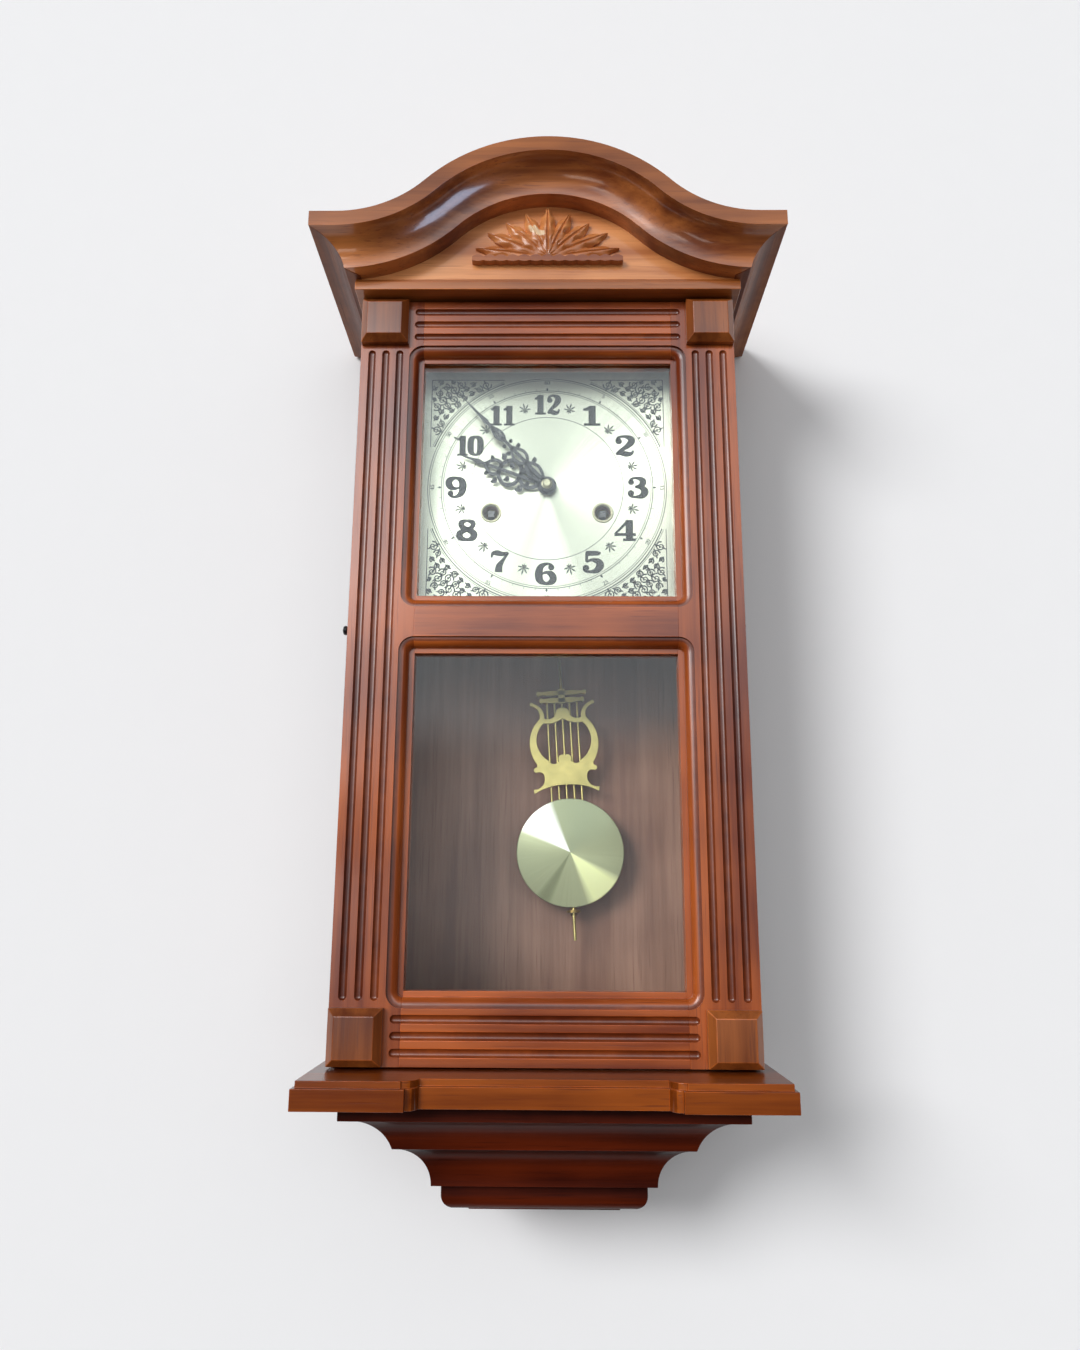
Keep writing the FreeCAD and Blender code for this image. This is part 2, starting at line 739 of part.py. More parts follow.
top_rail = rail("top_rail", [(DOOR_BACK, DOOR_TOP), (DOOR_FRONT, DOOR_TOP)] + bead_points(UPPER_TOP, -1))
bottom_rail = rail(
    "bottom_rail", [(DOOR_BACK, DOOR_BOTTOM), (DOOR_FRONT, DOOR_BOTTOM)] + bead_points(LOWER_BOTTOM, 1)
)
node(
    "door_mid_rail",
    rail("mid_rail", turned_round(bead_points(UPPER_BOTTOM, 1)) + bead_points(LOWER_TOP, -1)),
)


def window_loop(edge, top, bottom, radius):
    """A window's outline with rounded corners, drawn out from the opening by an edge."""
    x = f"({OPENING} + {edge})"
    low = f"({bottom} - {edge})"
    high = f"({top} + {edge})"
    return [
        (f"-{x} + {radius}", low),
        (f"{x} - {radius}", low, radius, 1),
        (x, f"{low} + {radius}"),
        (x, f"{high} - {radius}", radius, 1),
        (f"{x} - {radius}", high),
        (f"-{x} + {radius}", high, radius, 1),
        (f"-{x}", f"{high} - {radius}"),
        (f"-{x}", f"{low} + {radius}", radius, 1),
    ]


def window_tools(name, top, bottom):
    """What the router and the rebate plane take out of the stiles at one window."""
    quirk = pad(name + "_quirk", "XZ", f"{DOOR_FRONT} + quirk_depth", "quirk_depth", window_loop(BEAD, top, bottom, BEAD))
    lip_line = window_loop("lip_width", top, bottom, "lip_width")
    lip = pad(name + "_lip", "XZ", LIP_Y, "bead_radius + bead_drop + quirk_depth", lip_line)
    edge = f"({OPENING} + rebate_width)"
    rebate_low = (f"-{edge}", GLASS_Y, f"{bottom} - rebate_width")
    rebate = box(name + "_rebate", rebate_low, (edge, DOOR_BACK, f"{top} + rebate_width"))
    return quirk, lip, rebate


upper_tools = window_tools("upper_window", UPPER_TOP, UPPER_BOTTOM)
lower_tools = window_tools("lower_window", LOWER_TOP, LOWER_BOTTOM)


def flute(name, start, axis, length):
    """A round-bottomed groove with round ends, cut into the door's face."""
    end = list(start)
    spot = {"X": 0, "Z": 2}[axis]
    end[spot] = f"{start[spot]} + {length}"
    parts = [rod(name, start, axis, "flute_radius", length)]
    for tag, at in (("_start", start), ("_end", end)):
        ball = doc.addObject("Part::Sphere", name + tag)
        bind(ball, Radius="flute_radius")
        parts.append(place(ball, *at))
    return fuse(name + "_groove", *parts)


FLUTE_Y = f"{DOOR_FRONT} - flute_lift"
flute_low = f"({DOOR_BOTTOM} + block_height + flute_gap)"
flute_high = f"({DOOR_TOP} - block_height - flute_gap)"
stile_flutes = []
for i in range(3):
    flute_x = f"-{HALF} + flute_inset + {i} * flute_pitch"
    groove = flute(f"stile_flute_{i}", (flute_x, FLUTE_Y, flute_low), "Z", f"{flute_high} - {flute_low}")
    stile_flutes.append(groove)
rail_flutes = {}
for tag, edge, sign in (("top", DOOR_TOP, "-"), ("bottom", DOOR_BOTTOM, "+")):
    rail_flutes[tag] = []
    for i in range(3):
        start = ("-rail_flute_length / 2", FLUTE_Y, f"{edge} {sign} (flute_inset + {i} * flute_pitch)")
        rail_flutes[tag].append(flute(f"{tag}_flute_{i}", start, "X", "rail_flute_length"))

stile_low = (f"-{HALF}", DOOR_FRONT, DOOR_BOTTOM)
stile_blank = box("stile_blank", stile_low, (f"-{OPENING}", DOOR_BACK, DOOR_TOP))
routed = cut("stile_routed", stile_blank, *upper_tools, *lower_tools)
doc.recompute()


def ovolo_edges(thing):
    """The edges of a routed stile that the bead's round runs along."""
    level = number(f"{DOOR_FRONT} + quirk_depth")
    inner = -number(OPENING)
    reach = number("lip_width")
    found = []
    for i, edge in enumerate(thing.Shape.Edges, 1):
        ends = [vertex.Point for vertex in edge.Vertexes]
        middle = edge.valueAt((edge.FirstParameter + edge.LastParameter) / 2)
        flat = all(abs(p.y - level) < 1e-4 for p in ends + [middle])
        near = all(inner - reach - 1e-4 <= p.x <= inner + 1e-4 for p in ends + [middle])
        if flat and near and abs(middle.x - inner) > 1e-4:
            found.append(i)
    return found


rounded = doc.addObject("Part::Fillet", "stile_rounded")
rounded.Base = routed
bead_size = number("bead_radius")
rounded.Edges = [(i, bead_size, bead_size) for i in ovolo_edges(routed)]
stile_left = cut("stile_left", rounded, *stile_flutes, *rail_flutes["top"], *rail_flutes["bottom"])
node("door_stile_right", mirror("stile_right", stile_left))
node("door_top_rail", cut("top_rail_fluted", top_rail, *rail_flutes["top"]))
node("door_bottom_rail", cut("bottom_rail_fluted", bottom_rail, *rail_flutes["bottom"]))


def corner_block(name, x, z):
    """A raised block with four bevels, standing on the door's face."""
    step = "(block_thickness - block_bevel)"
    low = (x, f"{DOOR_FRONT} - {step}", z)
    base = box(name + "_base", low, (f"{x} + block_width", DOOR_FRONT, f"{z} + block_height"))
    bevel = doc.addObject("Part::Wedge", name + "_bevel")
    bevel.Placement = FreeCAD.Placement(V(), FreeCAD.Rotation(V(0, 0, 1), 180))
    bind(bevel, Xmin="0", Ymin="0", Zmin="0", Xmax="block_width", Ymax="block_bevel", Zmax="block_height")
    bind(bevel, X2min="block_bevel", Z2min="block_bevel")
    bind(bevel, X2max="block_width - block_bevel", Z2max="block_height - block_bevel")
    place(bevel, f"{x} + block_width", f"{DOOR_FRONT} - {step}", z)
    return fuse(name, base, bevel)


blocks = []
for tag, block_z in (("top", f"({DOOR_TOP} - block_inset - block_height)"), ("bottom", f"({DOOR_BOTTOM} + block_inset)")):
    left_block = corner_block(f"block_{tag}", f"(-{HALF} + block_inset)", block_z)
    blocks += [left_block, mirror(f"block_{tag}_right", left_block)]
node("corner_blocks", group("blocks", *blocks))


def pane(name, top, bottom):
    """A glass pane and the four strips that hold it, in the rebate round a window."""
    reach = "(rebate_width - glass_clearance)"
    x = f"({OPENING} + {reach})"
    glass = box(name, (f"-{x}", GLASS_Y, f"{bottom} - {reach}"), (x, GLASS_BACK, f"{top} + {reach}"))
    back = f"({GLASS_BACK} + strip_depth)"
    strips = []
    for way, level in (("+", top), ("-", bottom)):
        ends = [f"({level})", f"({level} {way} {reach})"]
        low, high = ends if way == "+" else ends[::-1]
        strips.append(box(f"{name}_strip_{len(strips)}", (f"-{x}", GLASS_BACK, low), (x, back, high)))
    upright = box(f"{name}_strip_2", (f"-{x}", GLASS_BACK, bottom), (f"-{OPENING}", back, top))
    strips += [upright, mirror(f"{name}_strip_3", upright)]
    return glass, strips


glass_upper, upper_strips = pane("pane_upper", UPPER_TOP, UPPER_BOTTOM)
glass_lower, lower_strips = pane("pane_lower", LOWER_TOP, LOWER_BOTTOM)
node("glass_upper", glass_upper)
node("glass_lower", glass_lower)
node("glazing_strips", group("strips", *upper_strips, *lower_strips))

# Knob on the door's left edge, a turned button on a short neck
KNOB_Z = f"({UPPER_BOTTOM} - mid_rail_width / 2 - knob_drop)"
KNOB_Y = f"({DOOR_BACK} - door_thickness / 2)"
knob_neck = rod("knob_neck", (f"-{HALF} - knob_length / 2", KNOB_Y, KNOB_Z), "X", "knob_radius / 2", "knob_length")
knob_head = rod("knob_head", (f"-{HALF} - knob_length", KNOB_Y, KNOB_Z), "X", "knob_radius", "knob_length / 2")
knob = node("door_knob", fuse("knob", knob_neck, knob_head))
node("door_stile_left", cut("stile_left_bored", stile_left, knob))

# Hinges between the door's back and the right-hand side's front edge
PIN_X = f"({HALF} + knuckle_radius + knuckle_gap)"
PIN_Y = f"({CASE_FRONT} - hinge_gap / 2)"
LEAF_IN = f"({HALF} - side_thickness + 1)"


def hinge(name, low):
    """One butt hinge: a leaf on the door with the middle knuckle, a leaf on the case with two, and a pin."""
    third = "(hinge_height / 3)"
    gap = "knuckle_gap / 2"
    bore = rod(name + "_bore", (PIN_X, PIN_Y, low), "Z", "hinge_pin + running_gap", "hinge_height")
    pieces = {}
    for owner, y, spans in (("door", DOOR_BACK, [1]), ("case", f"({CASE_FRONT} - hinge_leaf)", [0, 2])):
        plate = box(f"{name}_{owner}_plate", (LEAF_IN, y, low), (HALF, f"{y} + hinge_leaf", f"{low} + hinge_height"))
        parts = [plate]
        for span in spans:
            start = f"({low} + {span} * {third} + {gap})"
            stop = f"({low} + {span + 1} * {third} - {gap})"
            tab_low = (HALF, y, start)
            parts.append(box(f"{name}_{owner}_tab_{span}", tab_low, (PIN_X, f"{y} + hinge_leaf", stop)))
            knuckle = rod(
                f"{name}_{owner}_knuckle_{span}", (PIN_X, PIN_Y, start), "Z", "knuckle_radius", f"{stop} - {start}"
            )
            parts.append(knuckle)
        pieces[owner] = cut(f"{name}_{owner}", fuse(f"{name}_{owner}_leaf", *parts), bore)
    pin = rod(name + "_pin", (PIN_X, PIN_Y, low), "Z", "hinge_pin", "hinge_height")
    return pieces["door"], pieces["case"], pin


lower_hinge = hinge("hinge_lower", f"({DOOR_BOTTOM} + hinge_inset)")
upper_hinge = hinge("hinge_upper", f"({DOOR_TOP} - hinge_inset - hinge_height)")
node("hinge_door_leaves", group("door_leaves", lower_hinge[0], upper_hinge[0]))
node("hinge_case_leaves", group("case_leaves", lower_hinge[1], upper_hinge[1]))
node("hinge_pins", group("pins", lower_hinge[2], upper_hinge[2]))

# Dial, and the board that carries it between two upright cleats
CENTRE_Z = f"({UPPER_TOP} - dial_drop)"
DIAL_FACE = f"({DOOR_FRONT} + dial_setback)"
DIAL_BACK = f"({DIAL_FACE} + dial_thickness)"
DIAL_BOARD_BACK = f"({DIAL_BACK} + dial_board_thickness)"
BARREL_Z = f"({CENTRE_Z} - barrel_fall)"
WINDING_HOLE = "(winding_square / 2 * sqrt(2) + winding_clearance)"
dial_holes = [
    ("0", CENTRE_Z, "dial_hole"),
    ("barrel_offset", BARREL_Z, WINDING_HOLE),
    ("-barrel_offset", BARREL_Z, WINDING_HOLE),
]


def square_loop(half_width, low, high):
    return [(f"-{half_width}", low), (half_width, low), (half_width, high), (f"-{half_width}", high)]


dial_line = square_loop("dial_width / 2", f"{CENTRE_Z} - dial_width / 2", f"{CENTRE_Z} + dial_width / 2")
node("dial_plate", pad("dial", "XZ", DIAL_BACK, "dial_thickness", dial_line, dial_holes))
board_line = square_loop(INNER, f"{CENTRE_Z} - dial_board_height / 2", f"{CENTRE_Z} + dial_board_height / 2")
node("dial_board", pad("dial_backing", "XZ", DIAL_BOARD_BACK, "dial_board_thickness", board_line, dial_holes))
cleat_low = (f"-{INNER}", DIAL_BOARD_BACK, f"{CENTRE_Z} - dial_board_height / 2")
cleat_high = (f"-{INNER} + cleat_size", f"{DIAL_BOARD_BACK} + cleat_size", f"{CENTRE_Z} + dial_board_height / 2")
cleat = box("cleat_left", cleat_low, cleat_high)
cleat_right = mirror("cleat_right", cleat)

# Movement plates, pillars and the wooden blocks that carry them on the back board
FRONT_PLATE = f"({DIAL_BOARD_BACK} + motion_gap)"
PLATE_IN = f"({FRONT_PLATE} + plate_thickness)"
PLATE_OUT = f"({PLATE_IN} + plate_spacing)"
BACK_PLATE = f"({PLATE_OUT} + plate_thickness)"
PLATE_TOP = f"({CENTRE_Z} + plate_rise)"
GREAT_TEETH = 96
CENTRE_PINION = 8
GREAT_REACH = f"(sqrt(barrel_offset ^ 2 + barrel_fall ^ 2) * {GREAT_TEETH} / {GREAT_TEETH + CENTRE_PINION})"
PLATE_BOTTOM = f"({BARREL_Z} - {GREAT_REACH} - plate_foot)"
HAMMER_X = "(plate_width / 2 - hammer_inset)"
PIVOT_HOLE = "pivot_radius + running_gap"
ARBORS = {
    "centre": ("0", CENTRE_Z),
    "third": ("third_offset", f"({CENTRE_Z} + third_rise)"),
    "escape": ("0", f"({CENTRE_Z} + escape_rise)"),
    "anchor": ("0", f"({CENTRE_Z} + suspension_rise)"),
    "going": ("barrel_offset", BARREL_Z),
    "strike": ("-barrel_offset", BARREL_Z),
    "pin_wheel": ("-pin_wheel_offset", f"({CENTRE_Z} + pin_wheel_rise)"),
    "fly": ("-fly_offset", f"({CENTRE_Z} + fly_rise)"),
    "hammer": (f"-{HAMMER_X}", f"({CENTRE_Z} + hammer_rise)"),
}
plate_holes = []
for name, (x, z) in ARBORS.items():
    radius = PIVOT_HOLE
    if name in ("going", "strike"):
        radius = "barrel_arbor_radius + running_gap"
    if name == "centre":
        radius = "centre_arbor_radius + running_gap"
    plate_holes.append((x, z, radius))
plate_line = square_loop("plate_width / 2", PLATE_BOTTOM, PLATE_TOP)
plate_front = pad("plate_front", "XZ", PLATE_IN, "plate_thickness", plate_line, plate_holes)
plate_back = pad("plate_back", "XZ", BACK_PLATE, "plate_thickness", plate_line, plate_holes)
pillars = []
for x_sign in ("-", ""):
    for level in (f"{PLATE_TOP} - pillar_inset", f"{PLATE_BOTTOM} + pillar_inset"):
        start = (f"{x_sign}(plate_width / 2 - pillar_inset)", PLATE_IN, level)
        pillars.append(rod(f"pillar_{len(pillars)}", start, "Y", "pillar_radius", "plate_spacing"))
node("pillars", group("pillar_set", *pillars))
block_low = ("-plate_width / 2", BACK_PLATE, PLATE_BOTTOM)
block_left = box("movement_block", block_low, ("-plate_width / 2 + 3 * pillar_inset", "-back_thickness", PLATE_TOP))
block_right = mirror("movement_block_right", block_left)
node("inner_battens", group("battens", cleat, cleat_right, block_left, block_right))

# Wheels and pinions. Teeth are straight-sided and thinner than the gap, so that a train never binds.
TOOTH_SHARE = 0.38
TIP_SHARE = 0.16
ROOT_SHARE = 0.46
DEDENDUM = 1.15


def toothed(teeth, module, addendum, y, thickness, centre, phase):
    """A toothed disc. The phase is the angle of one tooth, clockwise from the top."""
    pitch_radius = teeth * module / 2
    ring = []
    for i in range(teeth):
        middle = phase + 2 * math.pi * i / teeth
        step = 2 * math.pi / teeth
        root = pitch_radius - DEDENDUM * module
        tip = pitch_radius + addendum * module
        for radius, share in ((root, -ROOT_SHARE), (pitch_radius, -TOOTH_SHARE), (tip, -TIP_SHARE)):
            ring.append((radius, middle + share * step / 2))
        for radius, share in ((tip, TIP_SHARE), (pitch_radius, TOOTH_SHARE), (root, ROOT_SHARE)):
            ring.append((radius, middle + share * step / 2))
    points = [V(centre[0] + r * math.sin(a), y, centre[1] + r * math.cos(a)) for r, a in ring]
    return Part.Face(Part.makePolygon(points + points[:1])).extrude(V(0, thickness, 0))


WHEEL_ADDENDUM = 0.7
PINION_ADDENDUM = 0.5


def bar(centre, y, length, radius):
    return Part.makeCylinder(radius, length, V(centre[0], y, centre[1]), V(0, 1, 0))


def spot(name):
    x, z = ARBORS[name]
    return number(x), number(z)


def heading(a, b):
    """The direction from one arbor to another, clockwise from the top."""
    return math.atan2(b[0] - a[0], b[1] - a[1])


def distance(a, b):
    return math.hypot(b[0] - a[0], b[1] - a[1])


def meshed(teeth, towards):
    """The phase that puts a gap of a wheel at a heading where the other wheel has a tooth."""
    return towards + math.pi / teeth


def pivoted(centre, body_radius):
    """An arbor that turns in both plates."""
    inner = number(PLATE_IN)
    outer = number(PLATE_OUT)
    shake = number("end_shake")
    plate = number("plate_thickness")
    pivot = number("pivot_radius")
    shaft = bar(centre, inner + shake, outer - inner - 2 * shake, body_radius)
    return shaft.fuse(bar(centre, inner - plate, outer - inner + 2 * plate, pivot))


CENTRE_TEETH = 72
THIRD_PINION = 8
THIRD_TEETH = 70
ESCAPE_PINION = 7
ESCAPE_TEETH = 38
PIN_TEETH = 60
CANNON_TEETH = 12
MINUTE_TEETH = 36
MINUTE_PINION = 10
HOUR_TEETH = 40
PIN_COUNT = 8

arbor = number("arbor_radius")
wheel = number("wheel_thickness")
inside = number(PLATE_IN)
outside = number(PLATE_OUT)
centre, third, escape = spot("centre"), spot("third"), spot("escape")
going, strike = spot("going"), spot("strike")
pin_spot, fly_spot, anchor_spot, hammer_spot = spot("pin_wheel"), spot("fly"), spot("anchor"), spot("hammer")

# Planes of the wheels, from the back plate forward
third_plane = outside - number("wheel_gap") - wheel
going_plane = third_plane - number("wheel_gap") - wheel
strike_plane = going_plane - number("strike_gap") - wheel
pin_plane = strike_plane + wheel + number("pin_gap")
centre_plane = inside + number("centre_gap")
escape_plane = strike_plane - number("escape_gap")
pinion_long = number("pinion_length")
lead = number("pinion_lead")
running = number("running_gap")


def barrel(name, great_plane, spot_at, phase):
    """A spring barrel with its great wheel, turning on the winding arbor."""
    module = 2 * distance(spot_at, centre if name == "going" else pin_spot) / (GREAT_TEETH + CENTRE_PINION)
    great = toothed(GREAT_TEETH, module, WHEEL_ADDENDUM, great_plane, wheel, spot_at, phase)
    radius = number("barrel_radius")
    depth = number("barrel_depth")
    cap = number("barrel_cap")
    drum = bar(spot_at, great_plane - depth, depth, radius)
    hollow = bar(spot_at, great_plane - depth + cap, depth - 2 * cap, radius - number("barrel_wall"))
    bore = bar(spot_at, great_plane - depth, depth + wheel, number("barrel_arbor_radius") + running)
    return great.fuse(drum).cut(hollow).cut(bore)


GREAT_PHASE = heading(going, centre)
STRIKE_PHASE = heading(strike, pin_spot)
node("going_barrel", shaped("barrel_going", barrel("going", going_plane, going, GREAT_PHASE)))
node("strike_barrel", shaped("barrel_strike", barrel("strike", strike_plane, strike, STRIKE_PHASE)))


SPRING_TURNS = 7
STEPS_PER_TURN = 24


def mainspring(great_plane, spot_at):
    """A wound spring inside its barrel, one flat spiral strip that fills it between two caps."""
    leaf = number("spring_leaf")
    clear = number("spring_clearance")
    inner = number("barrel_arbor_radius") + leaf + clear / 2
    outer = number("barrel_radius - barrel_wall") - clear
    margin = 2 * number("barrel_cap")
    start = great_plane - number("barrel_depth") + margin
    steps = STEPS_PER_TURN * SPRING_TURNS
    edge = []
    for i in range(steps + 1):
        radius = inner + (outer - inner) * i / steps
        edge.append((radius, 2 * math.pi * i / STEPS_PER_TURN))
    ring = edge + [(r - leaf, a) for r, a in reversed(edge)]
    points = [V(spot_at[0] + r * math.sin(a), start, spot_at[1] + r * math.cos(a)) for r, a in ring]
    strip = Part.Face(Part.makePolygon(points + points[:1]))
    return strip.extrude(V(0, number("barrel_depth") - 2 * margin, 0))


springs = [
    shaped("spring_going", mainspring(going_plane, going)),
    shaped("spring_strike", mainspring(strike_plane, strike)),
]
node("mainsprings", group("spring_pair", *springs))


def winding_arbor(spot_at):
    """The arbor that a key turns: a round shaft through the plates with a square at the front."""
    start = number(FRONT_PLATE)
    shaft = bar(spot_at, start, number(BACK_PLATE) - start, number("barrel_arbor_radius"))
    side_length = number("winding_square")
    front = number(f"{DIAL_BACK} + winding_setback")
    square = Part.makeBox(side_length, start - front, side_length)
    square.translate(V(spot_at[0] - side_length / 2, front, spot_at[1] - side_length / 2))
    return shaft.fuse(square)


node("going_winding_arbor", shaped("arbor_going", winding_arbor(going)))
node("strike_winding_arbor", shaped("arbor_strike", winding_arbor(strike)))

# Going train
centre_module = 2 * distance(centre, third) / (CENTRE_TEETH + THIRD_PINION)
third_module = 2 * distance(third, escape) / (THIRD_TEETH + ESCAPE_PINION)
great_module = 2 * distance(going, centre) / (GREAT_TEETH + CENTRE_PINION)
pin_module = 2 * distance(pin_spot, fly_spot) / (PIN_TEETH + CENTRE_PINION)
centre_phase = heading(centre, third)
third_phase = heading(third, escape)
centre_radius = number("centre_arbor_radius")
cannon_tip = number(f"{DIAL_FACE} - hour_hand_lift - hand_spacing - hand_thickness")
shaft_length = number(BACK_PLATE) - cannon_tip


def centre_wheel():
    shaft = bar(centre, cannon_tip, shaft_length, centre_radius)
    disc = toothed(CENTRE_TEETH, centre_module, WHEEL_ADDENDUM, centre_plane, wheel, centre, centre_phase)
    leaves = meshed(CENTRE_PINION, heading(centre, going))
    start = going_plane - lead
    pinion = toothed(CENTRE_PINION, great_module, PINION_ADDENDUM, start, pinion_long, centre, leaves)
    return disc.fuse([pinion, shaft])


wheel_centre = shaped("wheel_centre", centre_wheel())


def third_wheel():
    disc = toothed(THIRD_TEETH, third_module, WHEEL_ADDENDUM, third_plane, wheel, third, third_phase)
    leaves = meshed(THIRD_PINION, heading(third, centre))
    start = centre_plane - lead
    pinion = toothed(THIRD_PINION, centre_module, PINION_ADDENDUM, start, pinion_long, third, leaves)
    return disc.fuse([pinion, pivoted(third, arbor)])


node("third_wheel", shaped("wheel_third", third_wheel()))


ESCAPE_ROOT = 0.87
ESCAPE_TOOTH = ((ESCAPE_ROOT, 0), (1, 0.1), (1, 0.2), (ESCAPE_ROOT, 0.75))


def escape_wheel():
    """A recoil escape wheel: pointed teeth that lean one way."""
    radius = number("escape_radius")
    step = 2 * math.pi / ESCAPE_TEETH
    ring = []
    for i in range(ESCAPE_TEETH):
        ring += [(radius * share, (i + along) * step) for share, along in ESCAPE_TOOTH]
    points = [V(escape[0] + r * math.sin(a), escape_plane, escape[1] + r * math.cos(a)) for r, a in ring]
    disc = Part.Face(Part.makePolygon(points + points[:1])).extrude(V(0, wheel, 0))
    leaves = meshed(ESCAPE_PINION, heading(escape, third))
    start = third_plane - lead
    pinion = toothed(ESCAPE_PINION, third_module, PINION_ADDENDUM, start, wheel + 2 * lead, escape, leaves)
    return disc.fuse([pinion, pivoted(escape, arbor)])


node("escape_wheel", shaped("wheel_escape", escape_wheel()))

# Anchor with its crutch, which embraces the pendulum rod behind the back plate
LEAN = FreeCAD.Rotation(V(0, 1, 0), -number("pendulum_lean"))
SUSPENSION = V(anchor_spot[0], 0, anchor_spot[1])
HANGING = FreeCAD.Placement(V(), LEAN, SUSPENSION)
PENDULUM_Y = -number("pendulum_setback")


def anchor_piece():
    """The anchor's yoke on its arbor, and the crutch behind the back plate with its two prongs."""
    x, z = anchor_spot
    shake = number("end_shake")
    rear = number(f"{BACK_PLATE} + crutch_gap")
    thick = number("crutch_thickness")
    front = inside - number("plate_thickness")
    shaft = bar(anchor_spot, inside + shake, outside - inside - 2 * shake, arbor)
    pivots = bar(anchor_spot, front, rear + thick - front, number("pivot_radius"))
    drop = anchor_spot[1] - escape[1]
    depth = number("pallet_depth")
    arm = number("anchor_arm")
    crown = number("anchor_crown")
    inner = number("escape_radius + pallet_clearance")
    under = crown - number("anchor_thickness")
    right = [(inner + arm, crown), (inner + arm / 2, depth - drop), (inner, depth - drop), (inner - arm / 2, under)]
    outline = right + [(-u, v) for u, v in reversed(right)]
    points = [V(x + u, escape_plane, z + v) for u, v in outline]
    yoke = Part.Face(Part.makePolygon(points + points[:1])).extrude(V(0, wheel, 0))
    hub = bar(anchor_spot, rear, thick, number("hub_radius"))
    wide = number("crutch_width")
    foot_z = z - number("crutch_length")
    wire = Part.makeBox(wide, thick, z - foot_z, V(x - wide / 2, rear, foot_z))
    gap = number("rod_radius + crutch_clearance")
    prong = number("prong_width")
    reach = PENDULUM_Y + number("prong_reach") - rear
    foot = Part.makeBox(2 * (gap + prong), thick, wide, V(x - gap - prong, rear, foot_z))
    prongs = [Part.makeBox(prong, reach, wide, V(x + u, rear, foot_z)) for u in (-gap - prong, gap)]
    return yoke.fuse([shaft, pivots, hub, wire, foot] + prongs)


node("anchor", shaped("anchor_and_crutch", anchor_piece(), HANGING))

# Suspension cock on the back plate: a bracket with the pin that the pendulum hangs from


def suspension_cock():
    x, z = anchor_spot
    rear = number(BACK_PLATE)
    back = PENDULUM_Y + number("cock_reach")
    wide = number("cock_width")
    lift = number("cock_lift")
    lug_wide = number("lug_width")
    lug_thick = number("lug_thickness")
    drop = number("lug_drop")
    overhang = number("hang_pin_overhang")
    bridge = Part.makeBox(wide, back - rear, number("cock_height"), V(x - wide / 2, rear, z + lift))
    lug = Part.makeBox(lug_wide, lug_thick, lift + drop, V(x - lug_wide / 2, back - lug_thick, z - drop))
    pin = bar(anchor_spot, PENDULUM_Y - overhang, back - PENDULUM_Y + overhang, number("hang_pin_radius"))
    return bridge.fuse([lug, pin])


cock = shaped("cock", suspension_cock())
node("back_plate", fuse("plate_back_cocked", plate_back, cock))


def suspension_spring():
    """A thin spring strip between a brass eye on the pin and a brass clip on the rod."""
    x, z = anchor_spot
    deep = number("eye_thickness")
    front = PENDULUM_Y - deep / 2
    strip_wide = number("strip_width")
    strip_thick = number("strip_thickness")
    clip_wide = number("clip_width")
    clip_high = number("clip_height")
    low = z - number("clip_drop")
    eye = bar(anchor_spot, front, deep, number("eye_radius"))
    strip = Part.makeBox(strip_wide, strip_thick, z - low, V(x - strip_wide / 2, PENDULUM_Y - strip_thick / 2, low))
    clip = Part.makeBox(clip_wide, deep, clip_high, V(x - clip_wide / 2, front, low))
    return eye.fuse([strip, clip]).cut(bar(anchor_spot, front, deep, number("hang_pin_radius") + running))


node("suspension_spring", shaped("spring_strip", suspension_spring(), HANGING))

# Pendulum, drawn hanging straight and then leaned over to one side of its swing
bob_z = anchor_spot[1] - number("pendulum_length")


def from_bob(u, v, y=0.0):
    """A point given across and up from the bob's centre, in the pendulum's plane."""
    return V(u, PENDULUM_Y + y, bob_z + v)


def upright(u, low, high, radius, y=0.0):
    """A round bar between two heights above the bob's centre."""
    return Part.makeCylinder(radius, high - low, from_bob(u, low, y), V(0, 0, 1))


def pendulum_rod():
    """The top rod with its crossbar, and the five strings and the tail below it."""
    thick = number("lyre_thickness")
    crossbar_rise = number("crossbar_rise")
    wide = number("crossbar_width")
    high = number("crossbar_height")
    foot = number("string_foot")
    round_bar = number("rod_radius")
    stem = upright(0, crossbar_rise, number("pendulum_length - clip_drop"), round_bar)
    crossbar = Part.makeBox(wide, thick, high, from_bob(-wide / 2, crossbar_rise - high / 2, thick / 2))
    strings = []
    for i in range(-2, 3):
        u = i * number("string_pitch")
        strings.append(upright(u, foot, crossbar_rise, number("string_radius"), thick))
    tail_low = -number("bob_radius + tail_length")
    tail = upright(0, tail_low, foot + number("tail_overlap"), round_bar, thick)
    return stem.fuse([crossbar, tail] + strings)


rod_shape = pendulum_rod()
node("pendulum_rod", shaped("rods", rod_shape, HANGING))


def lyre_edges(corners):
    """Edges through corners (u, v), or (u, v, mid u, mid v) where an arc follows, then their mirror image.
    They lie on the strings' front."""
    seat = number("lyre_thickness - string_radius")
    edges = []
    for a, b in zip(corners, corners[1:]):
        start = from_bob(*a[:2], seat)
        end = from_bob(*b[:2], seat)
        bent = len(a) > 2
        edges.append(Part.Arc(start, from_bob(*a[2:], seat), end).toShape() if bent else Part.makeLine(start, end))
    return edges + [edge.mirror(V(), V(1, 0, 0)) for edge in edges]


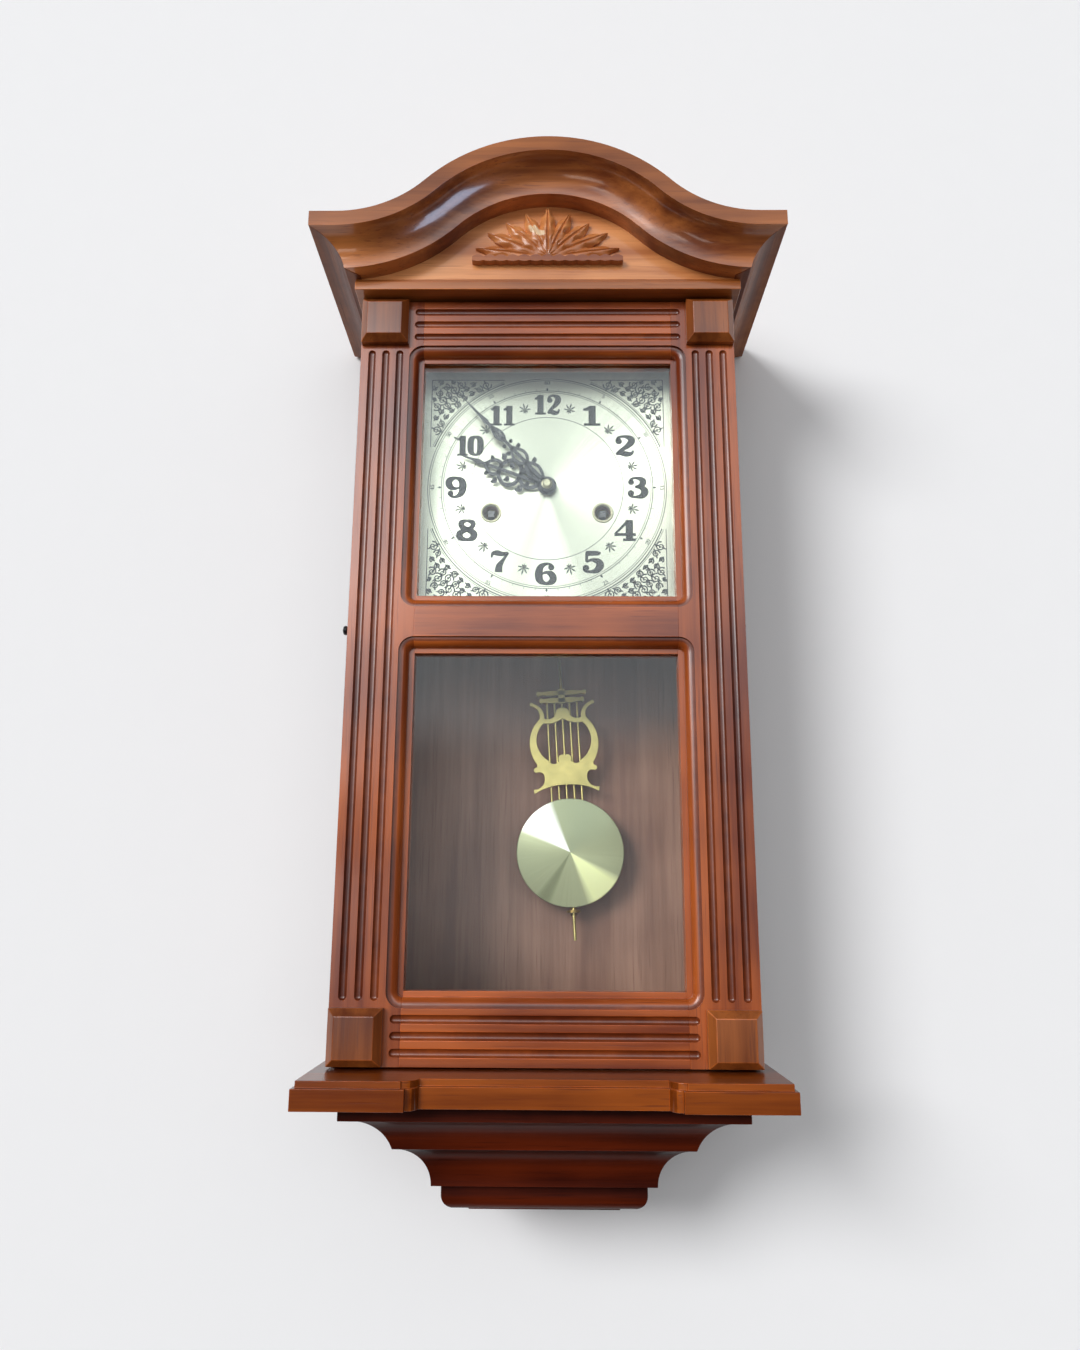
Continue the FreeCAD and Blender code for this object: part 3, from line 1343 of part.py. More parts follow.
LYRE_RIM = [
    (0, 43, 11, 42),
    (20.7, 38),
    (21.2, 41, 14.5, 44.2),
    (13.8, 48.5, 15.2, 51.4),
    (18.4, 51.6, 20.4, 53),
    (18.4, 55, 18.2, 56.6),
    (18.6, 57.6, 22.3, 70),
    (15.4, 86.4, 15.6, 91.6),
    (20.6, 95.4, 20.4, 97.6),
    (18.6, 97, 14.4, 94.2),
    (12, 86.8, 8.4, 86.4),
    (4.4, 89.4, 3.2, 92.6),
    (0, 93.4),
]
LYRE_WINDOW = [
    (0, 62.4, 3.4, 62),
    (4, 58.6, 6.6, 56.8),
    (10.4, 59, 17.6, 70),
    (12.6, 83.6, 8.4, 83.4),
    (0, 86.6),
]


def lyre():
    thick = number("lyre_thickness")
    rim = Part.Face(Part.Wire(Part.__sortEdges__(lyre_edges(LYRE_RIM))))
    window = Part.Face(Part.Wire(Part.__sortEdges__(lyre_edges(LYRE_WINDOW))))
    return rim.cut(window).extrude(V(0, -thick, 0))


node("lyre", shaped("lyre_plate", lyre(), HANGING))


def bob():
    """A lens-shaped brass disc on the rods."""
    radius = number("bob_radius")
    half = number("bob_thickness / 2")
    rim = number("bob_rim / 2")
    flat = radius - number("bob_bevel")
    middle = PENDULUM_Y + number("lyre_thickness")
    section = [(0, -half), (flat, -half), (radius, -rim), (radius, rim), (flat, half), (0, half)]
    profile = [V(u, middle + y, bob_z) for u, y in section]
    return Part.Face(Part.makePolygon(profile + profile[:1])).revolve(V(0, 0, bob_z), V(0, 1, 0), 360)


bob_solid = bob().cut(rod_shape)
node("bob", shaped("bob_disc", bob_solid, HANGING))


def rating_nut():
    height = number("nut_height")
    low = -number("bob_radius + nut_gap") - height
    back = number("lyre_thickness")
    blank = upright(0, low, low + height, number("nut_radius"), back)
    return blank.cut(upright(0, low, low + height, number("rod_radius") + running, back))


node("rating_nut", shaped("nut", rating_nut(), HANGING))

# Motion work between the dial board and the front plate
motion_spot = (centre[0], centre[1] - number("minute_wheel_fall"))
cannon_module = 2 * number("minute_wheel_fall") / (CANNON_TEETH + MINUTE_TEETH)
hour_module = 2 * number("minute_wheel_fall") / (MINUTE_PINION + HOUR_TEETH)
motion_back = number(f"{FRONT_PLATE} - motion_back_gap")
plane_gap = number("motion_plane_gap")
minute_plane = motion_back - wheel
hour_plane = minute_plane - plane_gap - wheel
cannon_radius = centre_radius + number("pipe_wall")
hour_bore = cannon_radius + running
hour_radius = hour_bore + number("pipe_wall")
stud_radius = number("stud_radius")
minute_hand_back = number(f"{DIAL_FACE} - hour_hand_lift - hand_spacing")
hour_hand_back = number(f"{DIAL_FACE} - hour_hand_lift")
thin = number("hand_thickness")


def cannon_pinion():
    """The pinion and pipe that sit tight on the centre arbor and carry the minute hand."""
    teeth = toothed(CANNON_TEETH, cannon_module, PINION_ADDENDUM, minute_plane, wheel, centre, math.pi)
    return teeth.fuse(bar(centre, minute_hand_back, motion_back - minute_hand_back, cannon_radius))


cannon = shaped("cannon", cannon_pinion())
node("centre_wheel", fuse("wheel_centre_pinioned", wheel_centre, cannon))


def minute_wheel():
    disc = toothed(MINUTE_TEETH, cannon_module, WHEEL_ADDENDUM, minute_plane, wheel, motion_spot, meshed(MINUTE_TEETH, 0))
    pinion = toothed(MINUTE_PINION, hour_module, PINION_ADDENDUM, hour_plane, wheel + plane_gap, motion_spot, 0)
    return disc.fuse(pinion).cut(bar(motion_spot, hour_plane, motion_back - hour_plane, stud_radius + running))


node("minute_wheel", shaped("wheel_minute", minute_wheel()))
stud_tip = hour_plane - plane_gap
stud = shaped("stud", bar(motion_spot, stud_tip, number(FRONT_PLATE) - stud_tip, stud_radius))
node("front_plate", fuse("plate_front_studded", plate_front, stud))


def hour_wheel():
    phase = meshed(HOUR_TEETH, math.pi)
    disc = toothed(HOUR_TEETH, hour_module, WHEEL_ADDENDUM, hour_plane, wheel, centre, phase)
    front = hour_hand_back - thin
    pipe = bar(centre, front, hour_plane + wheel - front, hour_radius)
    return disc.fuse(pipe).cut(bar(centre, front, hour_plane + wheel - front, hour_bore))


node("hour_wheel", shaped("wheel_hour", hour_wheel()))


def hand(length, back, hub, bore, lobes):
    """A flat hand with a ring hub and swelling scrolls along its blade, pointing up."""
    half = [(hub / 2, hub / 2)] + [(width, along * length) for along, width in lobes]
    half.append((number("hand_tip"), length))
    outline = half + [(-width, along) for width, along in reversed(half)]
    points = [V(centre[0] + u, back - thin, centre[1] + v) for u, v in outline]
    blade = Part.Face(Part.makePolygon(points + points[:1])).extrude(V(0, thin, 0))
    ring = bar(centre, back - thin, thin, hub)
    return blade.fuse(ring).cut(bar(centre, back - 2 * thin, 3 * thin, bore))


def pointing(angle):
    """Turned clockwise about the dial's centre."""
    return FreeCAD.Placement(V(), FreeCAD.Rotation(V(0, 1, 0), angle), V(centre[0], 0, centre[1]))


MINUTE_ANGLE = 317.5
HOUR_ANGLE = 291
HOUR_LOBES = [(0.2, 1.0), (0.34, 3.6), (0.46, 5.4), (0.58, 3.0), (0.68, 4.4), (0.78, 2.2), (0.88, 1.0)]
MINUTE_LOBES = [(0.16, 1.0), (0.3, 2.4), (0.42, 4.2), (0.54, 2.2), (0.64, 3.2), (0.76, 1.4), (0.88, 0.8)]
hour_hand = hand(number("hour_hand_length"), hour_hand_back, number("hour_hub_radius"), hour_radius, HOUR_LOBES)
node("hour_hand", shaped("hand_hour", hour_hand, pointing(HOUR_ANGLE)))
minute_hand = hand(number("minute_hand_length"), minute_hand_back, number("minute_hub_radius"), centre_radius, MINUTE_LOBES)
node("minute_hand", shaped("hand_minute", minute_hand, pointing(MINUTE_ANGLE)))
nut_front = minute_hand_back - thin
nut_sizes = [number(size) for size in ("hand_nut_radius", "hand_nut_tip", "hand_nut_height")]
hand_nut = Part.makeCone(*nut_sizes, V(centre[0], nut_front, centre[1]), V(0, -1, 0))
hand_nut = hand_nut.cut(bar(centre, cannon_tip, shaft_length, centre_radius))
node("hand_nut", shaped("nut_hands", hand_nut))

# Strike work: pin wheel, fly, hammer, gong
pin_circle = number("pin_circle")


def pin_wheel():
    disc = toothed(PIN_TEETH, pin_module, WHEEL_ADDENDUM, pin_plane, wheel, pin_spot, heading(pin_spot, fly_spot))
    leaves = meshed(CENTRE_PINION, heading(pin_spot, strike))
    module = 2 * distance(strike, pin_spot) / (GREAT_TEETH + CENTRE_PINION)
    start = strike_plane - lead
    pinion = toothed(CENTRE_PINION, module, PINION_ADDENDUM, start, pin_plane - start, pin_spot, leaves)
    pins = []
    for i in range(PIN_COUNT):
        angle = 2 * math.pi * i / PIN_COUNT
        at = (pin_spot[0] + pin_circle * math.sin(angle), pin_spot[1] + pin_circle * math.cos(angle))
        pins.append(bar(at, pin_plane, wheel + number("lift_pin_length"), number("lift_pin_radius")))
    return disc.fuse([pinion, pivoted(pin_spot, arbor)] + pins)


node("pin_wheel", shaped("wheel_pin", pin_wheel()))


def fly():
    """The air brake: a flat vane on a fast arbor."""
    leaves = meshed(CENTRE_PINION, heading(fly_spot, pin_spot))
    start = pin_plane - lead
    pinion = toothed(CENTRE_PINION, pin_module, PINION_ADDENDUM, start, wheel + 2 * lead, fly_spot, leaves)
    wide, deep, thick = [number(size) for size in ("fly_width", "fly_depth", "fly_thickness")]
    corner = V(fly_spot[0] - wide / 2, inside + number("fly_setback"), fly_spot[1] - thick / 2)
    vane = Part.makeBox(wide, deep, thick, corner)
    return pinion.fuse([vane, pivoted(fly_spot, arbor)])


node("fly", shaped("fly_vane", fly()))
head_radius = number("hammer_head_radius")
gong_y = outside - number("hammer_clearance") - head_radius
GONG_X = f"((plate_width / 2 + {INNER}) / 2)"


def hammer():
    """The hammer on its arbor, with a tail towards the pin wheel and a head beside the gong rods."""
    x, z = hammer_spot
    thick = number("hammer_arm")
    foot_z = z - number("hammer_fall")
    arm_y = gong_y + head_radius - thick
    tail_end = pin_spot[0] - pin_circle - number("tail_gap")
    tail = Part.makeBox(tail_end - x, thick, thick, V(x, pin_plane + wheel, z - thick / 2))
    head_x = -number(f"{GONG_X} - gong_radius - hammer_gong_gap")
    head_end = head_x + number("hammer_head_length")
    arm = Part.makeBox(thick, thick, z - foot_z, V(x - thick / 2, arm_y, foot_z))
    neck = Part.makeBox(x - head_x, thick, thick, V(head_x, arm_y, foot_z))
    head = Part.makeCylinder(head_radius, head_end - head_x, V(head_x, gong_y, foot_z + thick / 2), V(1, 0, 0))
    return tail.fuse([pivoted(hammer_spot, arbor), arm, neck, head])


node("hammer", shaped("hammer_arm", hammer()))
gong_top = f"({CENTRE_Z} + dial_board_height / 2 - cleat_size)"
GONG_Y = f"({PLATE_OUT} - hammer_clearance - hammer_head_radius)"
gong_low = (f"-{GONG_X} - 3 * gong_radius", f"{GONG_Y} - 4 * gong_radius", f"{gong_top} - gong_block_height")
gong_high = (f"-{GONG_X} + 3 * gong_radius", "-back_thickness", gong_top)
gong_block = box("gong_block_blank", gong_low, gong_high)
gong_rods = []
for i, way in enumerate(("-", "+")):
    start = (f"-{GONG_X}", f"{GONG_Y} {way} 1.4 * gong_radius", f"{gong_low[2]} - gong_length")
    gong_rods.append(rod(f"gong_rod_{i}", start, "Z", "gong_radius", "gong_length + gong_block_height / 2"))
node("gong_rods", group("gong_rod_pair", *gong_rods))
node("gong_block", cut("gong_block_drilled", gong_block, *gong_rods))

# Magnetic catch inside the left-hand side, and the screws
catch_low = (f"-{INNER}", CASE_FRONT, f"{KNOB_Z} - magnet_height / 2")
catch_high = (f"-{INNER} + magnet_width", f"{CASE_FRONT} + magnet_depth", f"{KNOB_Z} + magnet_height / 2")
node("catch_magnet", box("magnet", catch_low, catch_high))


def wood_screw(name, x, y, z, way, length="screw_length"):
    """A countersunk wood screw whose head lies in the face that it is driven into. Way is along Y."""
    head = cone(name + "_head", (x, y, z), way, "screw_head", "screw_radius", "screw_head - screw_radius")
    shank = rod(name + "_shank", (x, y, z), way, "screw_radius", length)
    return fuse(name, head, shank)


case_screws = []
BOARD_TOP = f"({CENTRE_Z} + dial_board_height / 2)"
for x_sign in ("-", ""):
    for z in (f"{BOARD_TOP} - screw_inset", f"{BOARD_TOP} - dial_board_height + screw_inset"):
        x = f"{x_sign}({INNER} - cleat_size / 2)"
        case_screws.append(wood_screw(f"dial_screw_{len(case_screws)}", x, DIAL_BACK, z, "Y"))
plate_screws = []
for x_sign in ("-", ""):
    for z in (f"{PLATE_TOP} - 2.6 * pillar_inset", f"{PLATE_BOTTOM} + 2.6 * pillar_inset"):
        x = f"{x_sign}(plate_width / 2 - pillar_inset)"
        plate_screws.append(wood_screw(f"plate_screw_{len(plate_screws)}", x, PLATE_OUT, z, "Y"))
hinge_case_screws = []
hinge_door_screws = []
for low in (f"({DOOR_BOTTOM} + hinge_inset)", f"({DOOR_TOP} - hinge_inset - hinge_height)"):
    for share in (0.2, 0.8):
        z = f"{low} + {share} * hinge_height"
        x = f"({HALF} - side_thickness / 2 + 0.5)"
        i = len(hinge_case_screws)
        hinge_case_screws.append(wood_screw(f"hinge_case_screw_{i}", x, f"{CASE_FRONT} - hinge_leaf", z, "Y"))
        hinge_door_screws.append(wood_screw(f"hinge_door_screw_{i}", x, f"{DOOR_BACK} + hinge_leaf", z, "-Y"))
strike_screw = wood_screw("catch_strike", f"-{INNER} + magnet_width / 2", DOOR_BACK, KNOB_Z, "-Y")
hanger_screws = []
for x_sign in ("-", ""):
    x = f"{x_sign}(hanger_width / 2 - 2 * screw_head)"
    hanger_screws.append(
        wood_screw(f"hanger_screw_{len(hanger_screws)}", x, "0", "0", "-Y", "hanger_screw_length")
    )

all_case_screws = case_screws + plate_screws + hinge_case_screws + hanger_screws
case_screw_group = group("case_screw_set", *all_case_screws)
door_screw_group = group("door_screw_set", *hinge_door_screws, strike_screw)
node("case_screws", case_screw_group)
node("door_screws", door_screw_group)
for name, screws in (
    ("dial_board", case_screws),
    ("inner_battens", case_screws + plate_screws),
    ("back_plate", plate_screws),
    ("hanger_plate", hanger_screws),
    ("back_board", hanger_screws),
    ("hinge_case_leaves", hinge_case_screws),
    ("case_side_right", hinge_case_screws),
    ("hinge_door_leaves", hinge_door_screws),
    ("door_stile_right", hinge_door_screws),
    ("door_stile_left", [strike_screw]),
):
    node(name, cut(name + "_drilled", NODES[name], *screws))

for name, thing in NODES.items():
    thing.Label = name
doc.recompute()
for thing in doc.Objects:
    if "Invalid" in thing.State or "Error" in thing.State:
        raise RuntimeError(f"{thing.Name} failed: {thing.State}")
for name, thing in NODES.items():
    if thing.Shape.isNull() or not thing.Shape.isValid() or not thing.Shape.Solids:
        raise RuntimeError(f"{name} has no valid solid")

os.makedirs("parts", exist_ok=True)
for name, thing in NODES.items():
    thing.Shape.exportStep(os.path.join("parts", name + ".step"))
print(len(NODES), "nodes")
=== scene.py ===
import json
import math
import bmesh
import bpy
from mathutils import Matrix, Quaternion, Vector


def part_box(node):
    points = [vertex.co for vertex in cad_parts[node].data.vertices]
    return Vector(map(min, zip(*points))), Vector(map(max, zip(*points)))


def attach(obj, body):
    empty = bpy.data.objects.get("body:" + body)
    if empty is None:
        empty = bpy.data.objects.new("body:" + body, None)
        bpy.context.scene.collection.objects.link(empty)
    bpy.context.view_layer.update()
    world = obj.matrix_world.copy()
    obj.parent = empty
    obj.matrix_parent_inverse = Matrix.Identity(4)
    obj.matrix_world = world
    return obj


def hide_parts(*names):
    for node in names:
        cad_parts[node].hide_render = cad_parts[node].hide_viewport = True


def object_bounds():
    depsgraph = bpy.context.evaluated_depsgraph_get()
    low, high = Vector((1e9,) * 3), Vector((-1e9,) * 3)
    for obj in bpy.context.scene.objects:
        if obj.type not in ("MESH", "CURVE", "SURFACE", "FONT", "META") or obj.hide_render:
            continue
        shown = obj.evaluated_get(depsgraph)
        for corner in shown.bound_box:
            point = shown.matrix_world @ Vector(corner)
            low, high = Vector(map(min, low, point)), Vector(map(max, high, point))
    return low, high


bl_info = {
    "name": "Wall pendulum clock",
    "version": (1, 0, 0),
    "blender": (4, 5, 0),
    "location": "View3D > Sidebar > Clock",
    "description": "Dresses the packed wall clock: wood, glass, dial print, hands, carving and pendulum",
    "category": "Object",
}

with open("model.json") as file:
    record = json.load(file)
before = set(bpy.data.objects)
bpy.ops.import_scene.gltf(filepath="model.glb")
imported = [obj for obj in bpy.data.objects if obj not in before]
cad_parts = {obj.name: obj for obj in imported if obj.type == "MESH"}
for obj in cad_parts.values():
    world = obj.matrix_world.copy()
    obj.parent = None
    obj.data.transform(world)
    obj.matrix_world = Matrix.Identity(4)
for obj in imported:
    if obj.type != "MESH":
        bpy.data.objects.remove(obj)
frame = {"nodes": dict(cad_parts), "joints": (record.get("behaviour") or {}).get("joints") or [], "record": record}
CAD_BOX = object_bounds()
NODES = frame["nodes"]
RECORD = frame["record"]
SLOT_OF = {row["node"]: row["material_slot"] for row in RECORD["subparts"]}
BODY_OF = {node: body for body, members in RECORD["behaviour"]["bodies"].items() for node in members}
JOINTS = {joint["name"]: joint for joint in frame["joints"]}
MM = 0.001
TURN = 2 * math.pi


def display(red, green, blue):
    """A colour given as it shows on a screen, from 0 to 255, as the linear colour that a shader takes."""
    shares = [value / 255 for value in (red, green, blue)]
    return tuple(s / 12.92 if s <= 0.04045 else ((s + 0.055) / 1.055) ** 2.4 for s in shares)


def colour(name, description, default):
    """A colour that a user can change."""
    return bpy.props.FloatVectorProperty(
        name=name, description=description, subtype="COLOR", size=3, min=0, max=1, default=default
    )


def length(name, description, default):
    """A length that a user can change."""
    return bpy.props.FloatProperty(name=name, description=description, unit="LENGTH", default=default)


def brightness(name, description, default):
    """A light's strength that a user can change."""
    return bpy.props.FloatProperty(name=name, description=description, min=0, default=default)


class ClockWoods(bpy.types.PropertyGroup):
    """Stains and lacquer of the case."""

    door_dark: colour("Door, dark", "Dark stain in the grain of the door", display(108, 41, 10))
    door_light: colour("Door, light", "Light stain of the door", display(176, 87, 31))
    block_dark: colour("Blocks, dark", "Dark stain of the door's corner blocks", display(94, 42, 14))
    block_light: colour("Blocks, light", "Light stain of the door's corner blocks", display(150, 82, 34))
    crown_dark: colour("Crown, dark", "Dark stain in the grain of the crown", display(116, 58, 18))
    crown_light: colour("Crown, light", "Light stain of the crown", display(170, 98, 42))
    # The tympanum's stain is lighter than the crown's to stand in for the fill light that the overhang keeps from
    # it: painted light.
    tympanum_dark: colour("Tympanum, dark", "Dark stain under the arch", display(172, 100, 51))
    tympanum_light: colour("Tympanum, light", "Light stain under the arch", display(232, 158, 98))
    # The cove's stain is a lighter copy of the crown's that stands in for the fill light under the overhang:
    # painted light.
    cove_dark: colour("Cove, dark", "Dark stain in the hollow of the cornice", display(132, 66, 30))
    cove_light: colour("Cove, light", "Light stain in the hollow of the cornice", display(214, 130, 66))
    case_dark: colour("Case, dark", "Dark stain of the case sides", display(58, 26, 16))
    case_light: colour("Case, light", "Light stain of the case sides", display(98, 52, 32))
    shelf_dark: colour("Shelf, dark", "Dark stain of the shelf", display(98, 38, 3))
    shelf_light: colour("Shelf, light", "Light stain of the shelf", display(152, 74, 12))
    drop_dark: colour("Drop, dark", "Dark stain of the drop", display(54, 13, 4))
    drop_light: colour("Drop, light", "Light stain of the drop", display(96, 32, 9))
    panel_dark: colour("Panel, dark", "Dark grain of the back board", display(126, 88, 70))
    panel_light: colour("Panel, light", "Light grain of the back board", display(170, 130, 108))
    bare: colour("Bare wood", "Bare wood where the stain is chipped off", display(226, 196, 160))
    edge_round: length("Edge round", "Radius that the lacquer leaves on an edge", 0.5 * MM)


class ClockDial(bpy.types.PropertyGroup):
    """Print on the dial."""

    numeral_radius: length("Numeral radius", "From the centre to the middle of a numeral", 57 * MM)
    numeral_height: length("Numeral height", "Height of an hour numeral", 13.5 * MM)
    inner_radius: length("Inner circle", "Radius of the line inside the numerals", 48 * MM)
    track_inner: length("Track, inside", "Radius of the minute track's inner line", 66 * MM)
    track_outer: length("Track, outside", "Radius of the minute track's outer line", 74.5 * MM)
    corner_reach: length("Corner reach", "Half the side of the square of corner scrolls", 75 * MM)
    ink: colour("Ink", "Ink of the numerals", display(30, 34, 32))
    fine_ink: colour("Fine ink", "Ink of the lines and scrolls", display(58, 64, 56))
    metal_dark: colour("Metal, dark", "Dark brush lines of the dial", display(170, 173, 154))
    metal_light: colour("Metal, light", "Light brush lines of the dial", display(203, 205, 184))


class ClockMetals(bpy.types.PropertyGroup):
    """Brass, steel and black finishes."""

    brass: colour("Brass", "Brass of the movement", display(180, 150, 88))
    lyre: colour("Lyre", "Pale stamped brass of the lyre", display(206, 190, 122))
    rim: colour("Rims", "Pale plated brass of the winding holes' rims", display(176, 172, 142))
    bob: colour("Bob", "Pale brass of the bob", display(182, 188, 146))
    steel: colour("Steel", "Plain steel", display(150, 150, 148))
    black: colour("Black", "Black lacquer of the hands", display(16, 18, 22))


class ClockStage(bpy.types.PropertyGroup):
    """Camera, wall and lights."""

    lens: bpy.props.FloatProperty(name="Lens", description="Focal length", unit="CAMERA", default=27.12)
    card_power: brightness("Card", "Brightness of the card in front", 1.4)
    window_power: brightness("Window", "Brightness of the window in front", 4.0)
    strip_power: brightness("Strip", "Brightness of the strip on the left", 2.2)
    sun_power: brightness("Sun", "Strength of the soft light from the left", 2.25)
    fill_power: brightness("Fill", "Strength of the soft light from the front", 0.66)
    behind_power: brightness("Behind", "Strength of the light on the back", 1.2)
    pane_power: brightness("Panes", "Brightness of the panes low in front", 9.0)
    world_strength: brightness("World", "Strength of the room's light", 0.41)
    wall_colour: colour("Wall", "Paint of the wall and floor", (0.86, 0.86, 0.87))


# Shader helpers


def add_node(tree, kind, **settings):
    """A new node with its settings."""
    node = tree.nodes.new(kind)
    for key, value in settings.items():
        setattr(node, key, value)
    return node


def set_inputs(node, **values):
    """Sets sockets by their names, with underscores for blanks."""
    for key, value in values.items():
        node.inputs[key.replace("_", " ")].default_value = value
    return node


def opaque(rgb):
    """A colour with full alpha."""
    return (*rgb, 1.0)


def math_node(tree, operation, first, second):
    """A Math node on two links or numbers, which gives its result socket."""
    node = add_node(tree, "ShaderNodeMath", operation=operation)
    for socket, value in zip(node.inputs, (first, second)):
        if isinstance(value, (int, float)):
            socket.default_value = value
        else:
            tree.links.new(value, socket)
    return node.outputs[0]


def mix_colour(tree, share, first, second, blend="MIX"):
    """A Mix node on two colours, which gives its result socket."""
    node = add_node(tree, "ShaderNodeMix", data_type="RGBA", blend_type=blend)
    for socket, value in zip((node.inputs[0], node.inputs[6], node.inputs[7]), (share, first, second)):
        if isinstance(value, bpy.types.NodeSocket):
            tree.links.new(value, socket)
        else:
            socket.default_value = value
    return node.outputs[2]


def noise(tree, vector, scale, detail, roughness=0.55, stretch=None):
    """A Noise node on a vector, squeezed by a stretch, which gives its value socket."""
    if stretch:
        mapping = add_node(tree, "ShaderNodeMapping")
        mapping.inputs["Scale"].default_value = stretch
        tree.links.new(vector, mapping.inputs["Vector"])
        vector = mapping.outputs["Vector"]
    node = add_node(tree, "ShaderNodeTexNoise")
    set_inputs(node, Scale=scale, Detail=detail, Roughness=roughness)
    tree.links.new(vector, node.inputs["Vector"])
    return node.outputs["Fac"]


def ranged(tree, value, low, high, to_low=0.0, to_high=1.0):
    """A clamped Map Range node on a link, which gives its result socket."""
    node = add_node(tree, "ShaderNodeMapRange", clamp=True)
    for socket, number in zip(node.inputs[1:5], (low, high, to_low, to_high)):
        socket.default_value = number
    tree.links.new(value, node.inputs[0])
    return node.outputs[0]


def shader_group(name, inputs, outputs):
    """A new node group with its two ends. Inputs and outputs are (name, socket type) pairs."""
    tree = bpy.data.node_groups.new(name, "ShaderNodeTree")
    for label, kind in inputs:
        tree.interface.new_socket(label, in_out="INPUT", socket_type=kind)
    for label, kind in outputs:
        tree.interface.new_socket(label, in_out="OUTPUT", socket_type=kind)
    return tree, add_node(tree, "NodeGroupInput"), add_node(tree, "NodeGroupOutput")


VECTOR, VALUE, COLOUR = "NodeSocketVector", "NodeSocketFloat", "NodeSocketColor"
NOISE_SPAN = (0.3, 0.7)
GRAIN_STREAK = (70, 70, 3.2)
GRAIN_PORE = (900, 900, 26)
GRAIN_CLOUD = 11.0
STREAK_SHARE = 0.62
STAIN_SPAN = (0.41, 0.6)
PORE_SPAN = (0.6, 0.72)
PORE_STAIN = 0.6
STREAK_ROUGH = 0.12
PORE_ROUGH = 0.1
STREAK_HEIGHT = 0.4


def grain_group():
    """Stained wood grain along the vector's Z: broad streaks, short dark pores and a cloudy stain."""
    inputs = [("Vector", VECTOR), ("Dark", COLOUR), ("Light", COLOUR), ("Gloss", VALUE)]
    outputs = [("Color", COLOUR), ("Roughness", VALUE), ("Height", VALUE)]
    tree, start, end = shader_group("wood_grain", inputs, outputs)
    vector, dark = start.outputs["Vector"], start.outputs["Dark"]
    streak = noise(tree, vector, 1.0, 6.0, 0.6, GRAIN_STREAK)
    pore = noise(tree, vector, 1.0, 2.0, 0.5, GRAIN_PORE)
    cloud = noise(tree, vector, GRAIN_CLOUD, 3.0, 0.5)
    broad = math_node(tree, "MULTIPLY", streak, STREAK_SHARE)
    tone = math_node(tree, "ADD", broad, math_node(tree, "MULTIPLY", cloud, 1 - STREAK_SHARE))
    stain = mix_colour(tree, ranged(tree, tone, *STAIN_SPAN), dark, start.outputs["Light"])
    open_pore = ranged(tree, pore, *PORE_SPAN)
    shaded = mix_colour(tree, math_node(tree, "MULTIPLY", open_pore, PORE_STAIN), stain, dark)
    tree.links.new(shaded, end.inputs["Color"])
    rough = math_node(tree, "ADD", start.outputs["Gloss"], math_node(tree, "MULTIPLY", streak, STREAK_ROUGH))
    dull = math_node(tree, "ADD", rough, math_node(tree, "MULTIPLY", open_pore, PORE_ROUGH))
    tree.links.new(dull, end.inputs["Roughness"])
    height = math_node(tree, "SUBTRACT", math_node(tree, "MULTIPLY", streak, STREAK_HEIGHT), open_pore)
    tree.links.new(height, end.inputs["Height"])
    return tree


RUB_PATCH = 90.0
RUB_SPAN = (0.36, 0.62, 0.12, 0.7)
RUB_BRIGHT = (1.9, 1.75, 1.6, 1.0)
# The groove mask's darkening: painted shade, and on the shelf and the side cornices also stain.
GROOVE_SPAN = (0.3, 0.7, 0.55, 0.95)
GROOVE_DARK = (0.36, 0.28, 0.26, 1.0)


def rub_group():
    """Stain rubbed thin along edges, and painted shade, with stain on some pieces, where the groove mask asks for
    it.
    """
    inputs = [("Vector", VECTOR), ("Color", COLOUR), ("Edge", VALUE), ("Groove", VALUE)]
    tree, start, end = shader_group("rubbed_edges", inputs, [("Color", COLOUR)])
    patch = noise(tree, start.outputs["Vector"], RUB_PATCH, 4.0, 0.6)
    worn = math_node(tree, "MULTIPLY", start.outputs["Edge"], ranged(tree, patch, *RUB_SPAN))
    bright = mix_colour(tree, 1.0, start.outputs["Color"], RUB_BRIGHT, "MULTIPLY")
    rubbed = mix_colour(tree, worn, start.outputs["Color"], bright)
    deep = mix_colour(tree, 1.0, rubbed, GROOVE_DARK, "MULTIPLY")
    share = math_node(tree, "MULTIPLY", start.outputs["Groove"], ranged(tree, patch, *GROOVE_SPAN))
    tree.links.new(mix_colour(tree, share, rubbed, deep), end.inputs["Color"])
    return tree


BRUSH_LINES = 36.0


def brush_group():
    """Brush lines that run out from the middle of the vector's space, across its Y."""
    outputs = [("Streak", VALUE), ("Heading", VECTOR)]
    tree, start, end = shader_group("sunburst_brush", [("Vector", VECTOR)], outputs)
    flat = add_node(tree, "ShaderNodeVectorMath", operation="MULTIPLY")
    flat.inputs[1].default_value = (1, 0, 1)
    tree.links.new(start.outputs["Vector"], flat.inputs[0])
    unit = add_node(tree, "ShaderNodeVectorMath", operation="NORMALIZE")
    tree.links.new(flat.outputs[0], unit.inputs[0])
    tree.links.new(unit.outputs[0], end.inputs["Heading"])
    tree.links.new(noise(tree, unit.outputs[0], BRUSH_LINES, 6.0, 0.7), end.inputs["Streak"])
    return tree


GROUPS = {}


def group(name, maker):
    """A node group by its name, made the first time that it is asked for."""
    if name not in GROUPS:
        GROUPS[name] = maker()
    return GROUPS[name]


def new_material(name):
    """An empty material with a Principled shader. Gives the material, its tree and the shader."""
    material = bpy.data.materials.new(name)
    material.use_nodes = True
    tree = material.node_tree
    tree.nodes.clear()
    shader = add_node(tree, "ShaderNodeBsdfPrincipled")
    output = add_node(tree, "ShaderNodeOutputMaterial")
    tree.links.new(shader.outputs[0], output.inputs["Surface"])
    return material, tree, shader


